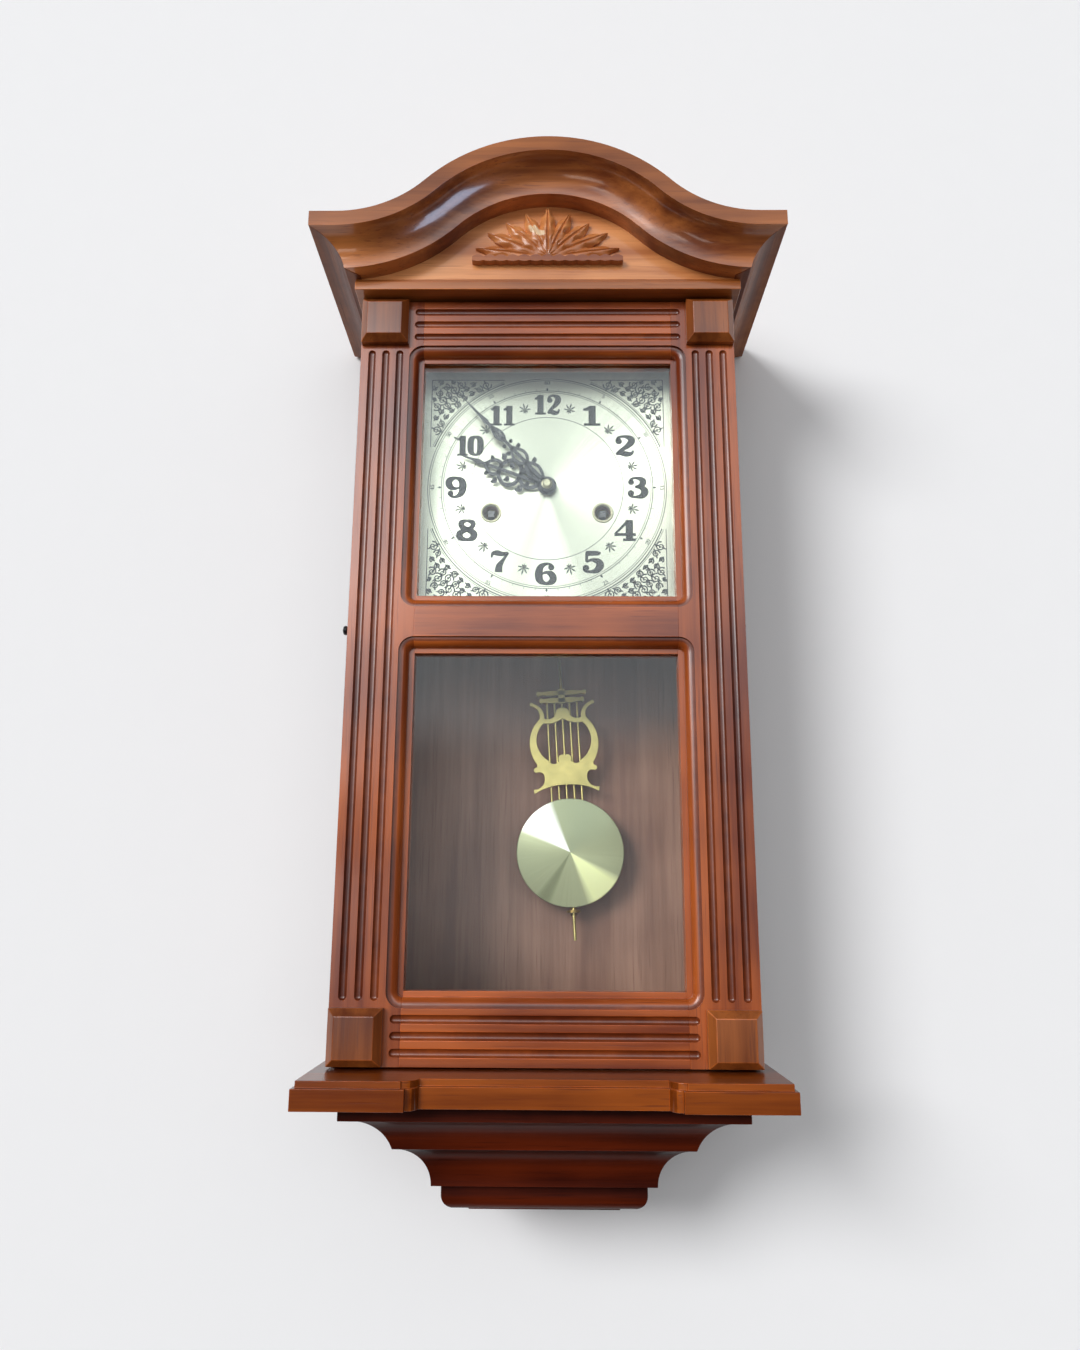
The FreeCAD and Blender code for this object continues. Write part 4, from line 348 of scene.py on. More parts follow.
def object_space(tree, centre=(0, 0, 0), turn=(0, 0, 0), size=(1, 1, 1)):
    """Object coordinates, moved to a centre, turned and divided by a size."""
    coordinates = add_node(tree, "ShaderNodeTexCoord")
    mapping = add_node(tree, "ShaderNodeMapping", vector_type="TEXTURE")
    mapping.inputs["Location"].default_value = centre
    mapping.inputs["Rotation"].default_value = turn
    mapping.inputs["Scale"].default_value = size
    tree.links.new(coordinates.outputs["Object"], mapping.inputs["Vector"])
    return mapping.outputs["Vector"]


def bumped(tree, shader, height, distance, strength=0.4):
    """Lets a height tilt the shader's normal."""
    bump = add_node(tree, "ShaderNodeBump")
    set_inputs(bump, Strength=strength, Distance=distance)
    tree.links.new(height, bump.inputs["Height"])
    tree.links.new(bump.outputs["Normal"], shader.inputs["Normal"])


def show(tree, surface):
    """Links a surface to the material's output."""
    output = next(node for node in tree.nodes if node.type == "OUTPUT_MATERIAL")
    tree.links.new(surface, output.inputs["Surface"])


def clear_where(tree, shader, share):
    """Makes a material see-through where the share is 1."""
    clear = add_node(tree, "ShaderNodeBsdfTransparent")
    blend = add_node(tree, "ShaderNodeMixShader")
    tree.links.new(share, blend.inputs[0])
    tree.links.new(shader.outputs[0], blend.inputs[1])
    tree.links.new(clear.outputs[0], blend.inputs[2])
    show(tree, blend.outputs[0])


GRAIN_TURNS = {"X": (0, math.pi / 2, 0), "Y": (math.pi / 2, 0, 0), "Z": (0, 0, 0)}
GRAIN_DEPTH = 0.06 * MM
COAT = {"Coat_Roughness": 0.12, "Coat_IOR": 1.5}
CHIP_RAGGED = 300.0
CHIP_EDGE = (1.3, 1.5, 1.0, 0.0)


def wood(name, dark, light, grain="Z", gloss=0.24, coat=0.7, shine=0.3, chip=None):
    """Stained, lacquered wood with its grain along an axis, worn edges, and painted shade where its groove mask
    asks. A chip is (centre, turn, size, bare colour).
    """
    material, tree, shader = new_material(name)
    vector = object_space(tree, turn=GRAIN_TURNS[grain])
    grained = add_node(tree, "ShaderNodeGroup", node_tree=group("grain", grain_group))
    set_inputs(grained, Dark=opaque(dark), Light=opaque(light), Gloss=gloss)
    tree.links.new(vector, grained.inputs["Vector"])
    rubbed = add_node(tree, "ShaderNodeGroup", node_tree=group("rub", rub_group))
    tree.links.new(vector, rubbed.inputs["Vector"])
    tree.links.new(grained.outputs["Color"], rubbed.inputs["Color"])
    # The edge mask wears the stain thin; the groove mask adds painted shade, and stain on some pieces.
    for label in ("Edge", "Groove"):
        mask = add_node(tree, "ShaderNodeAttribute", attribute_name=label.lower())
        tree.links.new(mask.outputs["Fac"], rubbed.inputs[label])
    finish = rubbed.outputs["Color"]
    if chip:
        centre, turn, size, bare = chip
        away = add_node(tree, "ShaderNodeVectorMath", operation="LENGTH")
        tree.links.new(object_space(tree, centre, turn, size), away.inputs[0])
        ragged = math_node(tree, "ADD", away.outputs["Value"], noise(tree, vector, CHIP_RAGGED, 2.0))
        inside = ranged(tree, ragged, *CHIP_EDGE)
        finish = mix_colour(tree, inside, finish, opaque(bare))
    tree.links.new(finish, shader.inputs["Base Color"])
    tree.links.new(grained.outputs["Roughness"], shader.inputs["Roughness"])
    set_inputs(shader, Coat_Weight=coat, Specular_IOR_Level=shine, **COAT)
    bumped(tree, shader, grained.outputs["Height"], GRAIN_DEPTH)
    return material


METAL_PATCH = 160.0
METAL_SPECK = 960.0
METAL_DEPTH = 0.02 * MM


def metal(name, rgb, roughness, mottle=0.16, metallic=1.0):
    """Metal with a slight mottle in its colour and gloss."""
    material, tree, shader = new_material(name)
    vector = object_space(tree)
    patch = noise(tree, vector, METAL_PATCH, 5.0, 0.6)
    dim = tuple(value * (1 - 2 * mottle) for value in rgb)
    tint = mix_colour(tree, ranged(tree, patch, *NOISE_SPAN), opaque(dim), opaque(rgb))
    tree.links.new(tint, shader.inputs["Base Color"])
    rough = ranged(tree, patch, 0.2, 0.8, roughness * 0.75, roughness * 1.25)
    tree.links.new(rough, shader.inputs["Roughness"])
    set_inputs(shader, Metallic=metallic)
    bumped(tree, shader, noise(tree, vector, METAL_SPECK, 3.0, 0.5), METAL_DEPTH, 0.25)
    return material


BRUSH_DEPTH = 0.01 * MM


def sunburst(name, dark, light, centre, roughness, spread, painted_reflections, metallic=1.0):
    """Metal brushed out from its middle, with painted highlights and painted dark reflections as wedges in its
    colour. A wedge is (heading, half width, softness, colour), in degrees.
    """
    material, tree, shader = new_material(name)
    brushed = add_node(tree, "ShaderNodeGroup", node_tree=group("brush", brush_group))
    tree.links.new(object_space(tree, centre=centre), brushed.inputs["Vector"])
    streak = brushed.outputs["Streak"]
    finish = mix_colour(tree, ranged(tree, streak, *NOISE_SPAN), opaque(dark), opaque(light))
    # Each wedge paints a highlight or a dark reflection into the metal's colour.
    for heading, half, softness, rgb in painted_reflections:
        toward = math.radians(heading)
        facing = add_node(tree, "ShaderNodeVectorMath", operation="DOT_PRODUCT")
        facing.inputs[1].default_value = (math.sin(toward), 0, math.cos(toward))
        tree.links.new(brushed.outputs["Heading"], facing.inputs[0])
        rim = math.cos(math.radians(half + softness))
        core = math.cos(math.radians(max(half - softness, 0)))
        finish = mix_colour(tree, ranged(tree, facing.outputs["Value"], rim, core), finish, opaque(rgb))
    tree.links.new(finish, shader.inputs["Base Color"])
    rough = ranged(tree, streak, *NOISE_SPAN, roughness * 0.9, roughness * 1.1)
    tree.links.new(rough, shader.inputs["Roughness"])
    set_inputs(shader, Metallic=metallic, Anisotropic=spread, Anisotropic_Rotation=0.25)
    around = add_node(tree, "ShaderNodeTangent", direction_type="RADIAL", axis="Y")
    tree.links.new(around.outputs[0], shader.inputs["Tangent"])
    bumped(tree, shader, streak, BRUSH_DEPTH, 0.2)
    return material


INK_PATCH = 900.0
INK_FADE = (0.45, 0.8)
INK_ROUGH = (0.4, 0.6)


def ink(name, rgb):
    """Printing ink, a little uneven."""
    material, tree, shader = new_material(name)
    patch = noise(tree, object_space(tree), INK_PATCH, 3.0, 0.6)
    faded = tuple(value * 1.5 + 0.01 for value in rgb)
    tint = mix_colour(tree, ranged(tree, patch, *INK_FADE), opaque(rgb), opaque(faded))
    tree.links.new(tint, shader.inputs["Base Color"])
    tree.links.new(ranged(tree, patch, *NOISE_SPAN, *INK_ROUGH), shader.inputs["Roughness"])
    set_inputs(shader, Specular_IOR_Level=0.2)
    return material


GLASS_TINT = (0.97, 0.985, 0.98, 1.0)
GLASS_SMEAR = (0.4, 0.75, 0.0, 0.03)


def pane_glass(name):
    """Clear window glass with a faint smear, which lets light through to what is behind it."""
    material, tree, shader = new_material(name)
    set_inputs(shader, Transmission_Weight=1.0, IOR=1.48, Base_Color=GLASS_TINT)
    smear = noise(tree, object_space(tree), 14.0, 3.0, 0.5)
    tree.links.new(ranged(tree, smear, *GLASS_SMEAR), shader.inputs["Roughness"])
    path = add_node(tree, "ShaderNodeLightPath")
    share = math_node(tree, "MAXIMUM", path.outputs["Is Shadow Ray"], path.outputs["Is Diffuse Ray"])
    clear_where(tree, shader, share)
    return material


def paint(name, rgb):
    """Flat wall paint that shows only from its front."""
    material, tree, shader = new_material(name)
    grain = noise(tree, object_space(tree), 40.0, 3.0, 0.5)
    dim = tuple(value * 0.985 for value in rgb)
    tree.links.new(mix_colour(tree, grain, opaque(dim), opaque(rgb)), shader.inputs["Base Color"])
    set_inputs(shader, Roughness=0.9)
    facing = add_node(tree, "ShaderNodeNewGeometry")
    clear_where(tree, shader, facing.outputs["Backfacing"])
    return material


MATERIALS = {}


def finish_named(name, maker, *values, **options):
    """A material by its name, made the first time that it is asked for."""
    if name not in MATERIALS:
        MATERIALS[name] = maker(name, *values, **options)
    return MATERIALS[name]


def stained(kind, grain, **options):
    """One of the case's stains with its grain along an axis."""
    woods = bpy.context.scene.clock_woods
    dark, light = getattr(woods, kind + "_dark"), getattr(woods, kind + "_light")
    return finish_named(f"{kind}_wood_{grain.lower()}", wood, tuple(dark), tuple(light), grain, **options)


def brass():
    """Brass of the movement and the hinges."""
    return finish_named("machined_brass", metal, tuple(bpy.context.scene.clock_metals.brass), 0.3)


def steel():
    """Bright steel."""
    return finish_named("plain_steel", metal, tuple(bpy.context.scene.clock_metals.steel), 0.34)


def pale_brass():
    """Plated brass of the winding holes' rims and the hand nut."""
    return finish_named("pale_brass", metal, tuple(bpy.context.scene.clock_metals.rim), 0.36)


def blacking():
    """Black lacquer."""
    colour = tuple(bpy.context.scene.clock_metals.black)
    return finish_named("black_lacquer", metal, colour, 0.3, metallic=0.0)


# Mesh helpers


def link_piece(name, mesh, finishes):
    """A new object at the origin with its materials."""
    piece = bpy.data.objects.new(name, mesh)
    bpy.context.scene.collection.objects.link(piece)
    for finish in finishes:
        mesh.materials.append(finish)
    return piece


def flatten(piece):
    """Turns the result of a piece's modifiers into its plain mesh."""
    evaluated = piece.evaluated_get(bpy.context.evaluated_depsgraph_get())
    made = bpy.data.meshes.new_from_object(evaluated)
    piece.modifiers.clear()
    piece.data = made
    return piece


SMOOTH_ANGLE = math.radians(32)


def smooth(mesh):
    """Smooth shading with sharp edges kept."""
    mesh.polygons.foreach_set("use_smooth", [True] * len(mesh.polygons))
    mesh.set_sharp_from_angle(angle=SMOOTH_ANGLE)


def weigh_normals(piece):
    """Keeps wide faces flat beside their rounded edges."""
    weighted = piece.modifiers.new("flat_faces", "WEIGHTED_NORMAL")
    weighted.keep_sharp = True
    return flatten(piece)


def hand_over(piece, body, slot, *nodes):
    """Gives a finished piece its body and hides the CAD nodes that it stands for. Its slot is not used."""
    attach(piece, body)
    if nodes:
        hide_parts(*nodes)
    return piece


def mesh_from(shape, name):
    """A mesh from a bmesh, which is freed."""
    mesh = bpy.data.meshes.new(name)
    shape.to_mesh(mesh)
    shape.free()
    return mesh


MERGE = 0.002 * MM
SHARP = math.radians(30)
ROUND_STEPS = 3
FLAT = math.radians(0.4)


def softened(node, finishes, radius, choose=None, groove=None, cuts=()):
    """A copy of a CAD piece with rounded edges in its place. Choose gives a face's material from its centre
    and normal, and groove the share of darkening at a face's corner: painted shade, and on some pieces stain.
    Cuts are the places across where long hollow-sided faces are split first."""
    shape = bmesh.new()
    shape.from_mesh(NODES[node].data)
    bmesh.ops.remove_doubles(shape, verts=shape.verts, dist=MERGE)
    bmesh.ops.dissolve_limit(shape, angle_limit=FLAT, verts=shape.verts, edges=shape.edges)
    for cut in cuts:
        whole = shape.verts[:] + shape.edges[:] + shape.faces[:]
        bmesh.ops.bisect_plane(shape, geom=whole, plane_co=(cut, 0, 0), plane_no=(1, 0, 0))
    sharp = [edge for edge in shape.edges if len(edge.link_faces) == 2 and edge.calc_face_angle() > SHARP]
    rounded = bmesh.ops.bevel(
        shape, geom=sharp, offset=radius, segments=ROUND_STEPS, profile=0.5, affect="EDGES",
        clamp_overlap=True,
    )
    bmesh.ops.recalc_face_normals(shape, faces=shape.faces)
    edge_mask = shape.loops.layers.float.new("edge")
    groove_mask = shape.loops.layers.float.new("groove")
    for face in rounded["faces"]:
        for corner in face.loops:
            corner[edge_mask] = 1.0
    for face in shape.faces:
        if choose:
            face.material_index = choose(face.calc_center_median(), face.normal)
        for corner in face.loops:
            corner[groove_mask] = groove(corner.vert.co, face.normal) if groove else 0.0
    mesh = mesh_from(shape, node + "_finished")
    smooth(mesh)
    piece = link_piece(node + "_finished", mesh, finishes)
    weigh_normals(piece)
    return hand_over(piece, BODY_OF[node], SLOT_OF[node], node)


def dress(finish, *nodes):
    """Gives CAD pieces that keep their shape a finish."""
    for node in nodes:
        NODES[node].data.materials.clear()
        NODES[node].data.materials.append(finish)


def curve_through(points, steps):
    """Points on a smooth curve through the given ones. Any further numbers in a point are blended too."""
    last = len(points) - 1
    found = []
    for i in range(last):
        around = [points[min(max(i + shift, 0), last)] for shift in (-1, 0, 1, 2)]
        for step in range(steps):
            t = step / steps
            spot = []
            for a, b, c, d in zip(*around):
                bend = (2 * a - 5 * b + 4 * c - d) * t * t
                twist = (3 * b - a - 3 * c + d) * t ** 3
                spot.append(0.5 * (2 * b + (c - a) * t + bend + twist))
            found.append(tuple(spot))
    found.append(tuple(float(value) for value in points[-1]))
    return found


PETAL_WIDTHS = [
    # shares of a petal's reach and of its half width
    (0.0, 0.06),
    (0.3, 0.75),
    (0.6, 1.0),
    (0.85, 0.6),
    (1.0, 0.04),
]
SCROLL_STEPS = 14
SCROLL_WIND = 0.82
SCROLL_THIN = 0.45
SCROLL_BALL = 1.5


class FlatDrawing:
    """Ribbons, discs and outlines in an upright plane, seen from the front. Places are (across, up)."""

    def __init__(self):
        self.shape = bmesh.new()

    def corner(self, across, up):
        return self.shape.verts.new((across, 0.0, up))

    def face(self, corners):
        """A face that looks to the front."""
        made = self.shape.faces.new(corners)
        made.normal_update()
        if made.normal.y > 0:
            made.normal_flip()

    def ribbon(self, line):
        """A band along points (across, up, half width)."""
        sides = []
        for i, (across, up, half) in enumerate(line):
            before, after = line[max(i - 1, 0)], line[min(i + 1, len(line) - 1)]
            along = Vector((after[0] - before[0], after[1] - before[1]))
            along = along.normalized() if along.length else Vector((1, 0))
            aside, above = along.y * half, along.x * half
            sides.append((across - aside, up + above, across + aside, up - above))
        verts = [(self.corner(a, b), self.corner(c, d)) for a, b, c, d in sides]
        for (first, second), (third, fourth) in zip(verts, verts[1:]):
            self.face((first, second, fourth, third))

    def disc(self, across, up, radius, corners=16):
        ring = [TURN * i / corners for i in range(corners)]
        self.face([self.corner(across + radius * math.sin(a), up + radius * math.cos(a)) for a in ring])

    def ring(self, radius, half, corners=180):
        angles = [TURN * i / corners for i in range(corners + 1)]
        self.ribbon([(radius * math.sin(a), radius * math.cos(a), half) for a in angles])

    def petal(self, across, up, heading, reach, half):
        """A drop-shaped leaf that starts at a point and runs along a heading, clockwise from the top."""
        aside, above = math.sin(heading), math.cos(heading)
        line = [(across + reach * s * aside, up + reach * s * above, half * w) for s, w in PETAL_WIDTHS]
        self.ribbon(curve_through(line, 3))

    def scroll(self, across, up, radius, heading, turns, half, way=1):
        """A spiral that winds in to a point, with a ball at its end."""
        count = max(int(SCROLL_STEPS * turns), 3)
        line = []
        for i in range(count + 1):
            share = i / count
            angle = heading + way * TURN * turns * share
            reach = radius * (1 - SCROLL_WIND * share)
            spot = (across + reach * math.sin(angle), up + reach * math.cos(angle))
            line.append((*spot, half * (1 - SCROLL_THIN * share)))
        self.ribbon(line)
        self.disc(line[-1][0], line[-1][1], half * SCROLL_BALL, 8)

    def mesh(self, name, matrix):
        """The drawing as a mesh, set in its place."""
        bmesh.ops.transform(self.shape, matrix=matrix, verts=self.shape.verts)
        return mesh_from(self.shape, name)


def thicken(piece, thickness):
    """Gives a flat drawing its thickness, back from its face."""
    solid = piece.modifiers.new("thickness", "SOLIDIFY")
    solid.thickness = thickness
    solid.offset = -1.0
    return flatten(piece)


FACING = Matrix.Rotation(math.pi / 2, 4, "X")


def scaled(shares, radius, tall):
    """A lathe's profile from shares of a radius and of a height."""
    return [(across * radius, up * tall) for across, up in shares]


def lathe(name, profile, matrix, finishes, corners=48, hollow=False):
    """A turned piece. The profile is (radius, height) from one end of its axis, local Z, to the other, and
    that of a hollow piece goes on to its start."""
    shape = bmesh.new()
    rings = []
    for radius, height in profile:
        ring = []
        for i in range(corners):
            angle = TURN * i / corners
            ring.append(shape.verts.new((radius * math.cos(angle), radius * math.sin(angle), height)))
        rings.append(ring)
    if hollow:
        rings.append(rings[0])
    for low, high in zip(rings, rings[1:]):
        for i in range(corners):
            j = (i + 1) % corners
            shape.faces.new((low[i], low[j], high[j], high[i]))
    if not hollow:
        shape.faces.new(rings[0][::-1])
        shape.faces.new(rings[-1])
    bmesh.ops.remove_doubles(shape, verts=shape.verts, dist=MERGE)
    bmesh.ops.recalc_face_normals(shape, faces=shape.faces)
    bmesh.ops.transform(shape, matrix=matrix, verts=shape.verts)
    mesh = mesh_from(shape, name)
    smooth(mesh)
    return link_piece(name, mesh, finishes)


def join(name, pieces):
    """One piece from several."""
    shape = bmesh.new()
    finishes = []
    for piece in pieces:
        start = len(finishes)
        finishes += list(piece.data.materials)
        before = len(shape.faces)
        shape.from_mesh(piece.data)
        shape.faces.ensure_lookup_table()
        for face in shape.faces[before:]:
            face.material_index += start
        bpy.data.objects.remove(piece)
    mesh = mesh_from(shape, name)
    return link_piece(name, mesh, finishes)


# Copies round an axis, as a geometry node tree


def ring_tree():
    """Turns copies of the incoming mesh round an axis through a pivot, evenly spaced."""
    tree = bpy.data.node_groups.new("ring_of_copies", "GeometryNodeTree")
    tree.is_modifier = True
    sockets = [
        ("Geometry", "NodeSocketGeometry"),
        ("Count", "NodeSocketInt"),
        ("Pivot", "NodeSocketVector"),
        ("Axis", "NodeSocketVector"),
        ("Start", "NodeSocketFloat"),
        ("Material", "NodeSocketMaterial"),
    ]
    for label, kind in sockets:
        tree.interface.new_socket(label, in_out="INPUT", socket_type=kind)
    tree.interface.new_socket("Geometry", in_out="OUTPUT", socket_type="NodeSocketGeometry")
    start = add_node(tree, "NodeGroupInput")
    end = add_node(tree, "NodeGroupOutput")
    points = add_node(tree, "GeometryNodePoints")
    copies = add_node(tree, "GeometryNodeInstanceOnPoints")
    index = add_node(tree, "GeometryNodeInputIndex")
    turn = add_node(tree, "FunctionNodeAxisAngleToRotation")
    real = add_node(tree, "GeometryNodeRealizeInstances")
    finish = add_node(tree, "GeometryNodeSetMaterial")
    step = math_node(tree, "DIVIDE", TURN, start.outputs["Count"])
    turned = math_node(tree, "MULTIPLY", index.outputs[0], step)
    angle = math_node(tree, "ADD", start.outputs["Start"], turned)
    tree.links.new(start.outputs["Count"], points.inputs["Count"])
    tree.links.new(start.outputs["Pivot"], points.inputs["Position"])
    tree.links.new(points.outputs[0], copies.inputs["Points"])
    tree.links.new(start.outputs["Geometry"], copies.inputs["Instance"])
    tree.links.new(start.outputs["Axis"], turn.inputs["Axis"])
    tree.links.new(angle, turn.inputs["Angle"])
    tree.links.new(turn.outputs[0], copies.inputs["Rotation"])
    tree.links.new(copies.outputs[0], real.inputs[0])
    tree.links.new(real.outputs[0], finish.inputs["Geometry"])
    tree.links.new(start.outputs["Material"], finish.inputs["Material"])
    tree.links.new(finish.outputs[0], end.inputs[0])
    return tree


def ring_of(name, mesh, finish, count, pivot, axis, start=0.0):
    """Copies of a small mesh, drawn about the origin, set evenly round an axis."""
    tree = group("ring", ring_tree)
    piece = link_piece(name, mesh, [])
    copies = piece.modifiers.new("copies", "NODES")
    copies.node_group = tree
    inputs = {item.name: item.identifier for item in tree.interface.items_tree if item.in_out == "INPUT"}
    values = {"Count": count, "Pivot": pivot, "Axis": axis, "Start": start, "Material": finish}
    for label, value in values.items():
        copies[inputs[label]] = value
    return flatten(piece)


# Case, crown, shelf and drop

# Strength of the painted shade on the cove's slopes, which also sets the side cornices' even dark stain
COVE_SHADE_AND_STAIN = 0.8
COVE_SLOPE = 74 * MM
COVE_SPREAD = 44 * MM
# Share of the shelf top's darkening, partly stain and partly painted shade
SHELF_TOP_SHADE_AND_STAIN = 0.7
SHELF_END = 10 * MM
SHELF_CUTS = [side * span * MM for side in (-1, 1) for span in (58, 65, 74)]
SHELF_ROUND = 1.4
# Share of each tier's height that takes painted shade
DROP_SHADE_BAND = 0.55
CORNICE_FACE = 2 * MM
CORNICE_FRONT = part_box("cornice_front")[0].y + CORNICE_FACE
SHELF_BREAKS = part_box("shelf")[1].x - SHELF_END


def cornice_part(spot, normal):
    """The cornice's flat front takes the crown's stain, and its hollow and underside take the cove's stain, a
    lighter copy that stands in for the fill light under the overhang (painted light).
    """
    return 0 if normal.y < -0.8 and spot.y < CORNICE_FRONT else 1


def cornice_groove(spot, normal):
    """Painted shade on the slopes of the hollow, whose middle and ends are left lighter."""
    slope = max(0.0, 1.0 - abs(abs(spot.x) - COVE_SLOPE) / COVE_SPREAD)
    return COVE_SHADE_AND_STAIN * slope * cornice_part(spot, normal)


def side_groove(spot, normal):
    """The side cornices are stained evenly as dark as the painted shade on the slopes of the front one."""
    return COVE_SHADE_AND_STAIN


def shelf_groove(spot, normal):
    """Darkens the shelf's top and the breaks of its front: partly their stain, partly painted shade."""
    if normal.z > 0.6:
        return SHELF_TOP_SHADE_AND_STAIN
    return 1.0 if abs(normal.x) > 0.5 and abs(spot.x) < SHELF_BREAKS else 0.0


def drop_groove(node):
    """Painted shade along the top of each tier of the drop, under the tier above."""
    low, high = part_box(node)
    band = DROP_SHADE_BAND * (high.z - low.z)
    return lambda spot, normal: max(0.0, 1.0 - (high.z - spot.z) / band)


class CLOCK_OT_case(bpy.types.Operator):
    """Rounds and finishes the boards of the case, the crown, the shelf and the drop"""

    bl_idname = "clock.case"
    bl_label = "Case"

    def execute(self, context):
        radius = context.scene.clock_woods.edge_round
        for node in ("case_side_left", "case_side_right"):
            softened(node, [stained("case", "Z")], radius)
        softened("top_board", [stained("case", "X")], radius)
        softened("side_cornices", [stained("cove", "Y", gloss=0.4, coat=0.2)], radius, groove=side_groove)
        faces = [stained("crown", "X"), stained("cove", "X")]
        softened("cornice_front", faces, radius, cornice_part, cornice_groove)
        softened("tympanum", [stained("tympanum", "X")], radius)
        softened("frieze_strip", [stained("crown", "X")], radius)
        board = [stained("shelf", "X", coat=0.45, shine=0.15)]
        softened("shelf", board, SHELF_ROUND * radius, groove=shelf_groove, cuts=SHELF_CUTS)
        tiers = [stained("drop", "X", gloss=0.4, coat=0.12, shine=0.05)]
        for node in ("drop_upper", "drop_middle", "drop_lower"):
            softened(node, tiers, radius, groove=drop_groove(node))
        dress(stained("panel", "Z", coat=0.25, gloss=0.4), "back_board", "dial_board", "inner_battens")
        return {"FINISHED"}


# Door

DOOR_ROUND = 0.5
BLOCK_ROUND = 0.75
DOOR_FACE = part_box("door_mid_rail")[0].y
DOOR_FLUTES = (DOOR_FACE + 0.2 * MM, DOOR_FACE + 1.75 * MM)


def door_groove(spot, normal):
    """Painted shade in the flutes and in the quirk beside the bead."""
    return 1.0 if DOOR_FLUTES[0] < spot.y < DOOR_FLUTES[1] else 0.0


class CLOCK_OT_door(bpy.types.Operator):
    """Rounds and finishes the door's frame and its corner blocks, and glazes it"""

    bl_idname = "clock.door"
    bl_label = "Door"

    def execute(self, context):
        edge = context.scene.clock_woods.edge_round
        radius = DOOR_ROUND * edge
        for node in ("door_stile_left", "door_stile_right"):
            softened(node, [stained("door", "Z")], radius, groove=door_groove)
        for node in ("door_top_rail", "door_mid_rail", "door_bottom_rail"):
            softened(node, [stained("door", "X")], radius, groove=door_groove)
        softened("corner_blocks", [stained("block", "Z")], BLOCK_ROUND * edge)
        dress(stained("door", "Z"), "glazing_strips")
        dress(finish_named("clear_glass", pane_glass), "glass_upper", "glass_lower")
        return {"FINISHED"}


# Carved leaf

LEAVES = [
    # heading in degrees from level, reach, half width and rise in millimetres, drawn on both sides
    (8, 45, 5.0, 3.6),
    (24, 41, 6.0, 4.4),
    (42, 35, 6.4, 5.2),
    (65, 33, 6.4, 6.0),
    (90, 34, 6.8, 6.8),
]
LEAF_ACROSS = 13
LEAF_ALONG = 26
LEAF_TEETH = 3.5
LEAF_NOTCH = 0.26
LEAF_SKEW = 0.8
LEAF_BLUNT = 0.7
LEAF_TIP = 0.02
LEAF_ARCH = 0.65
LEAF_SWELL = (0.15, 0.7)
LEAF_FALL = 0.62
LEAF_ROUND = 1.6
LEAF_RIB = (0.3, 0.14)
LEAF_VEIN = 0.14
LEAF_SLANT = 0.7
LEAF_RIM = 0.1
LEAF_ROOT = 0.9
STRIP_HEIGHT = 5.0 * MM
STRIP_HALF = 46.5 * MM
STRIP_BACK = 0.3
STRIP_TOP = (0.62, 0.3)
STRIP_FOOT = 0.12
SCALLOPS = 13
SCALLOP_STEPS = 6
CHIP = (-6.5 * MM, 21.0 * MM)
CHIP_SIZE = (7.5 * MM, 12 * MM, 2.6 * MM)
CHIP_TURN = 35


def leaf_blade(shape, root, heading, reach, half, rise):
    """One carved leaf: a closed blade with a sunk rib, slanting veins and a notched edge."""
    along = Vector((math.cos(heading), 0, math.sin(heading)))
    across = Vector((-math.sin(heading), 0, math.cos(heading)))
    rows = []
    for i in range(LEAF_ALONG + 1):
        s = i / LEAF_ALONG
        tooth = (LEAF_TEETH * s) % 1.0
        notch = 1 - LEAF_NOTCH + LEAF_NOTCH * tooth ** LEAF_BLUNT
        width = half * (math.sin(math.pi * s ** LEAF_SKEW) ** LEAF_BLUNT * notch + LEAF_TIP)
        arch = 1 - LEAF_ARCH + LEAF_ARCH * math.sin(math.pi * (LEAF_SWELL[0] + LEAF_SWELL[1] * s))
        row = []
        for j in range(LEAF_ACROSS):
            t = 2 * j / (LEAF_ACROSS - 1) - 1
            rib = LEAF_RIB[0] * math.exp(-((t / LEAF_RIB[1]) ** 2))
            vein = LEAF_VEIN * abs(t) * math.cos(TURN * (LEAF_TEETH * s - LEAF_SLANT * abs(t)))
            height = rise * arch * (1 - LEAF_FALL * abs(t) ** LEAF_ROUND - rib + vein)
            spot = root + along * (reach * s) + across * (width * t)
            row.append(shape.verts.new((spot.x, root.y - max(height, LEAF_RIM * rise), spot.z)))
        rows.append(row)
    for low, high in zip(rows, rows[1:]):
        for j in range(LEAF_ACROSS - 1):
            shape.faces.new((low[j], low[j + 1], high[j + 1], high[j]))
    out = [row[0] for row in rows]
    back = [row[-1] for row in reversed(rows)]
    rim = out + rows[-1][1:-1] + back + rows[0][-2:0:-1]
    foot = [shape.verts.new((v.co.x, root.y, v.co.z)) for v in rim]
    for i in range(len(rim)):
        j = (i + 1) % len(rim)
        shape.faces.new((rim[i], rim[j], foot[j], foot[i]))
    shape.faces.new(foot)


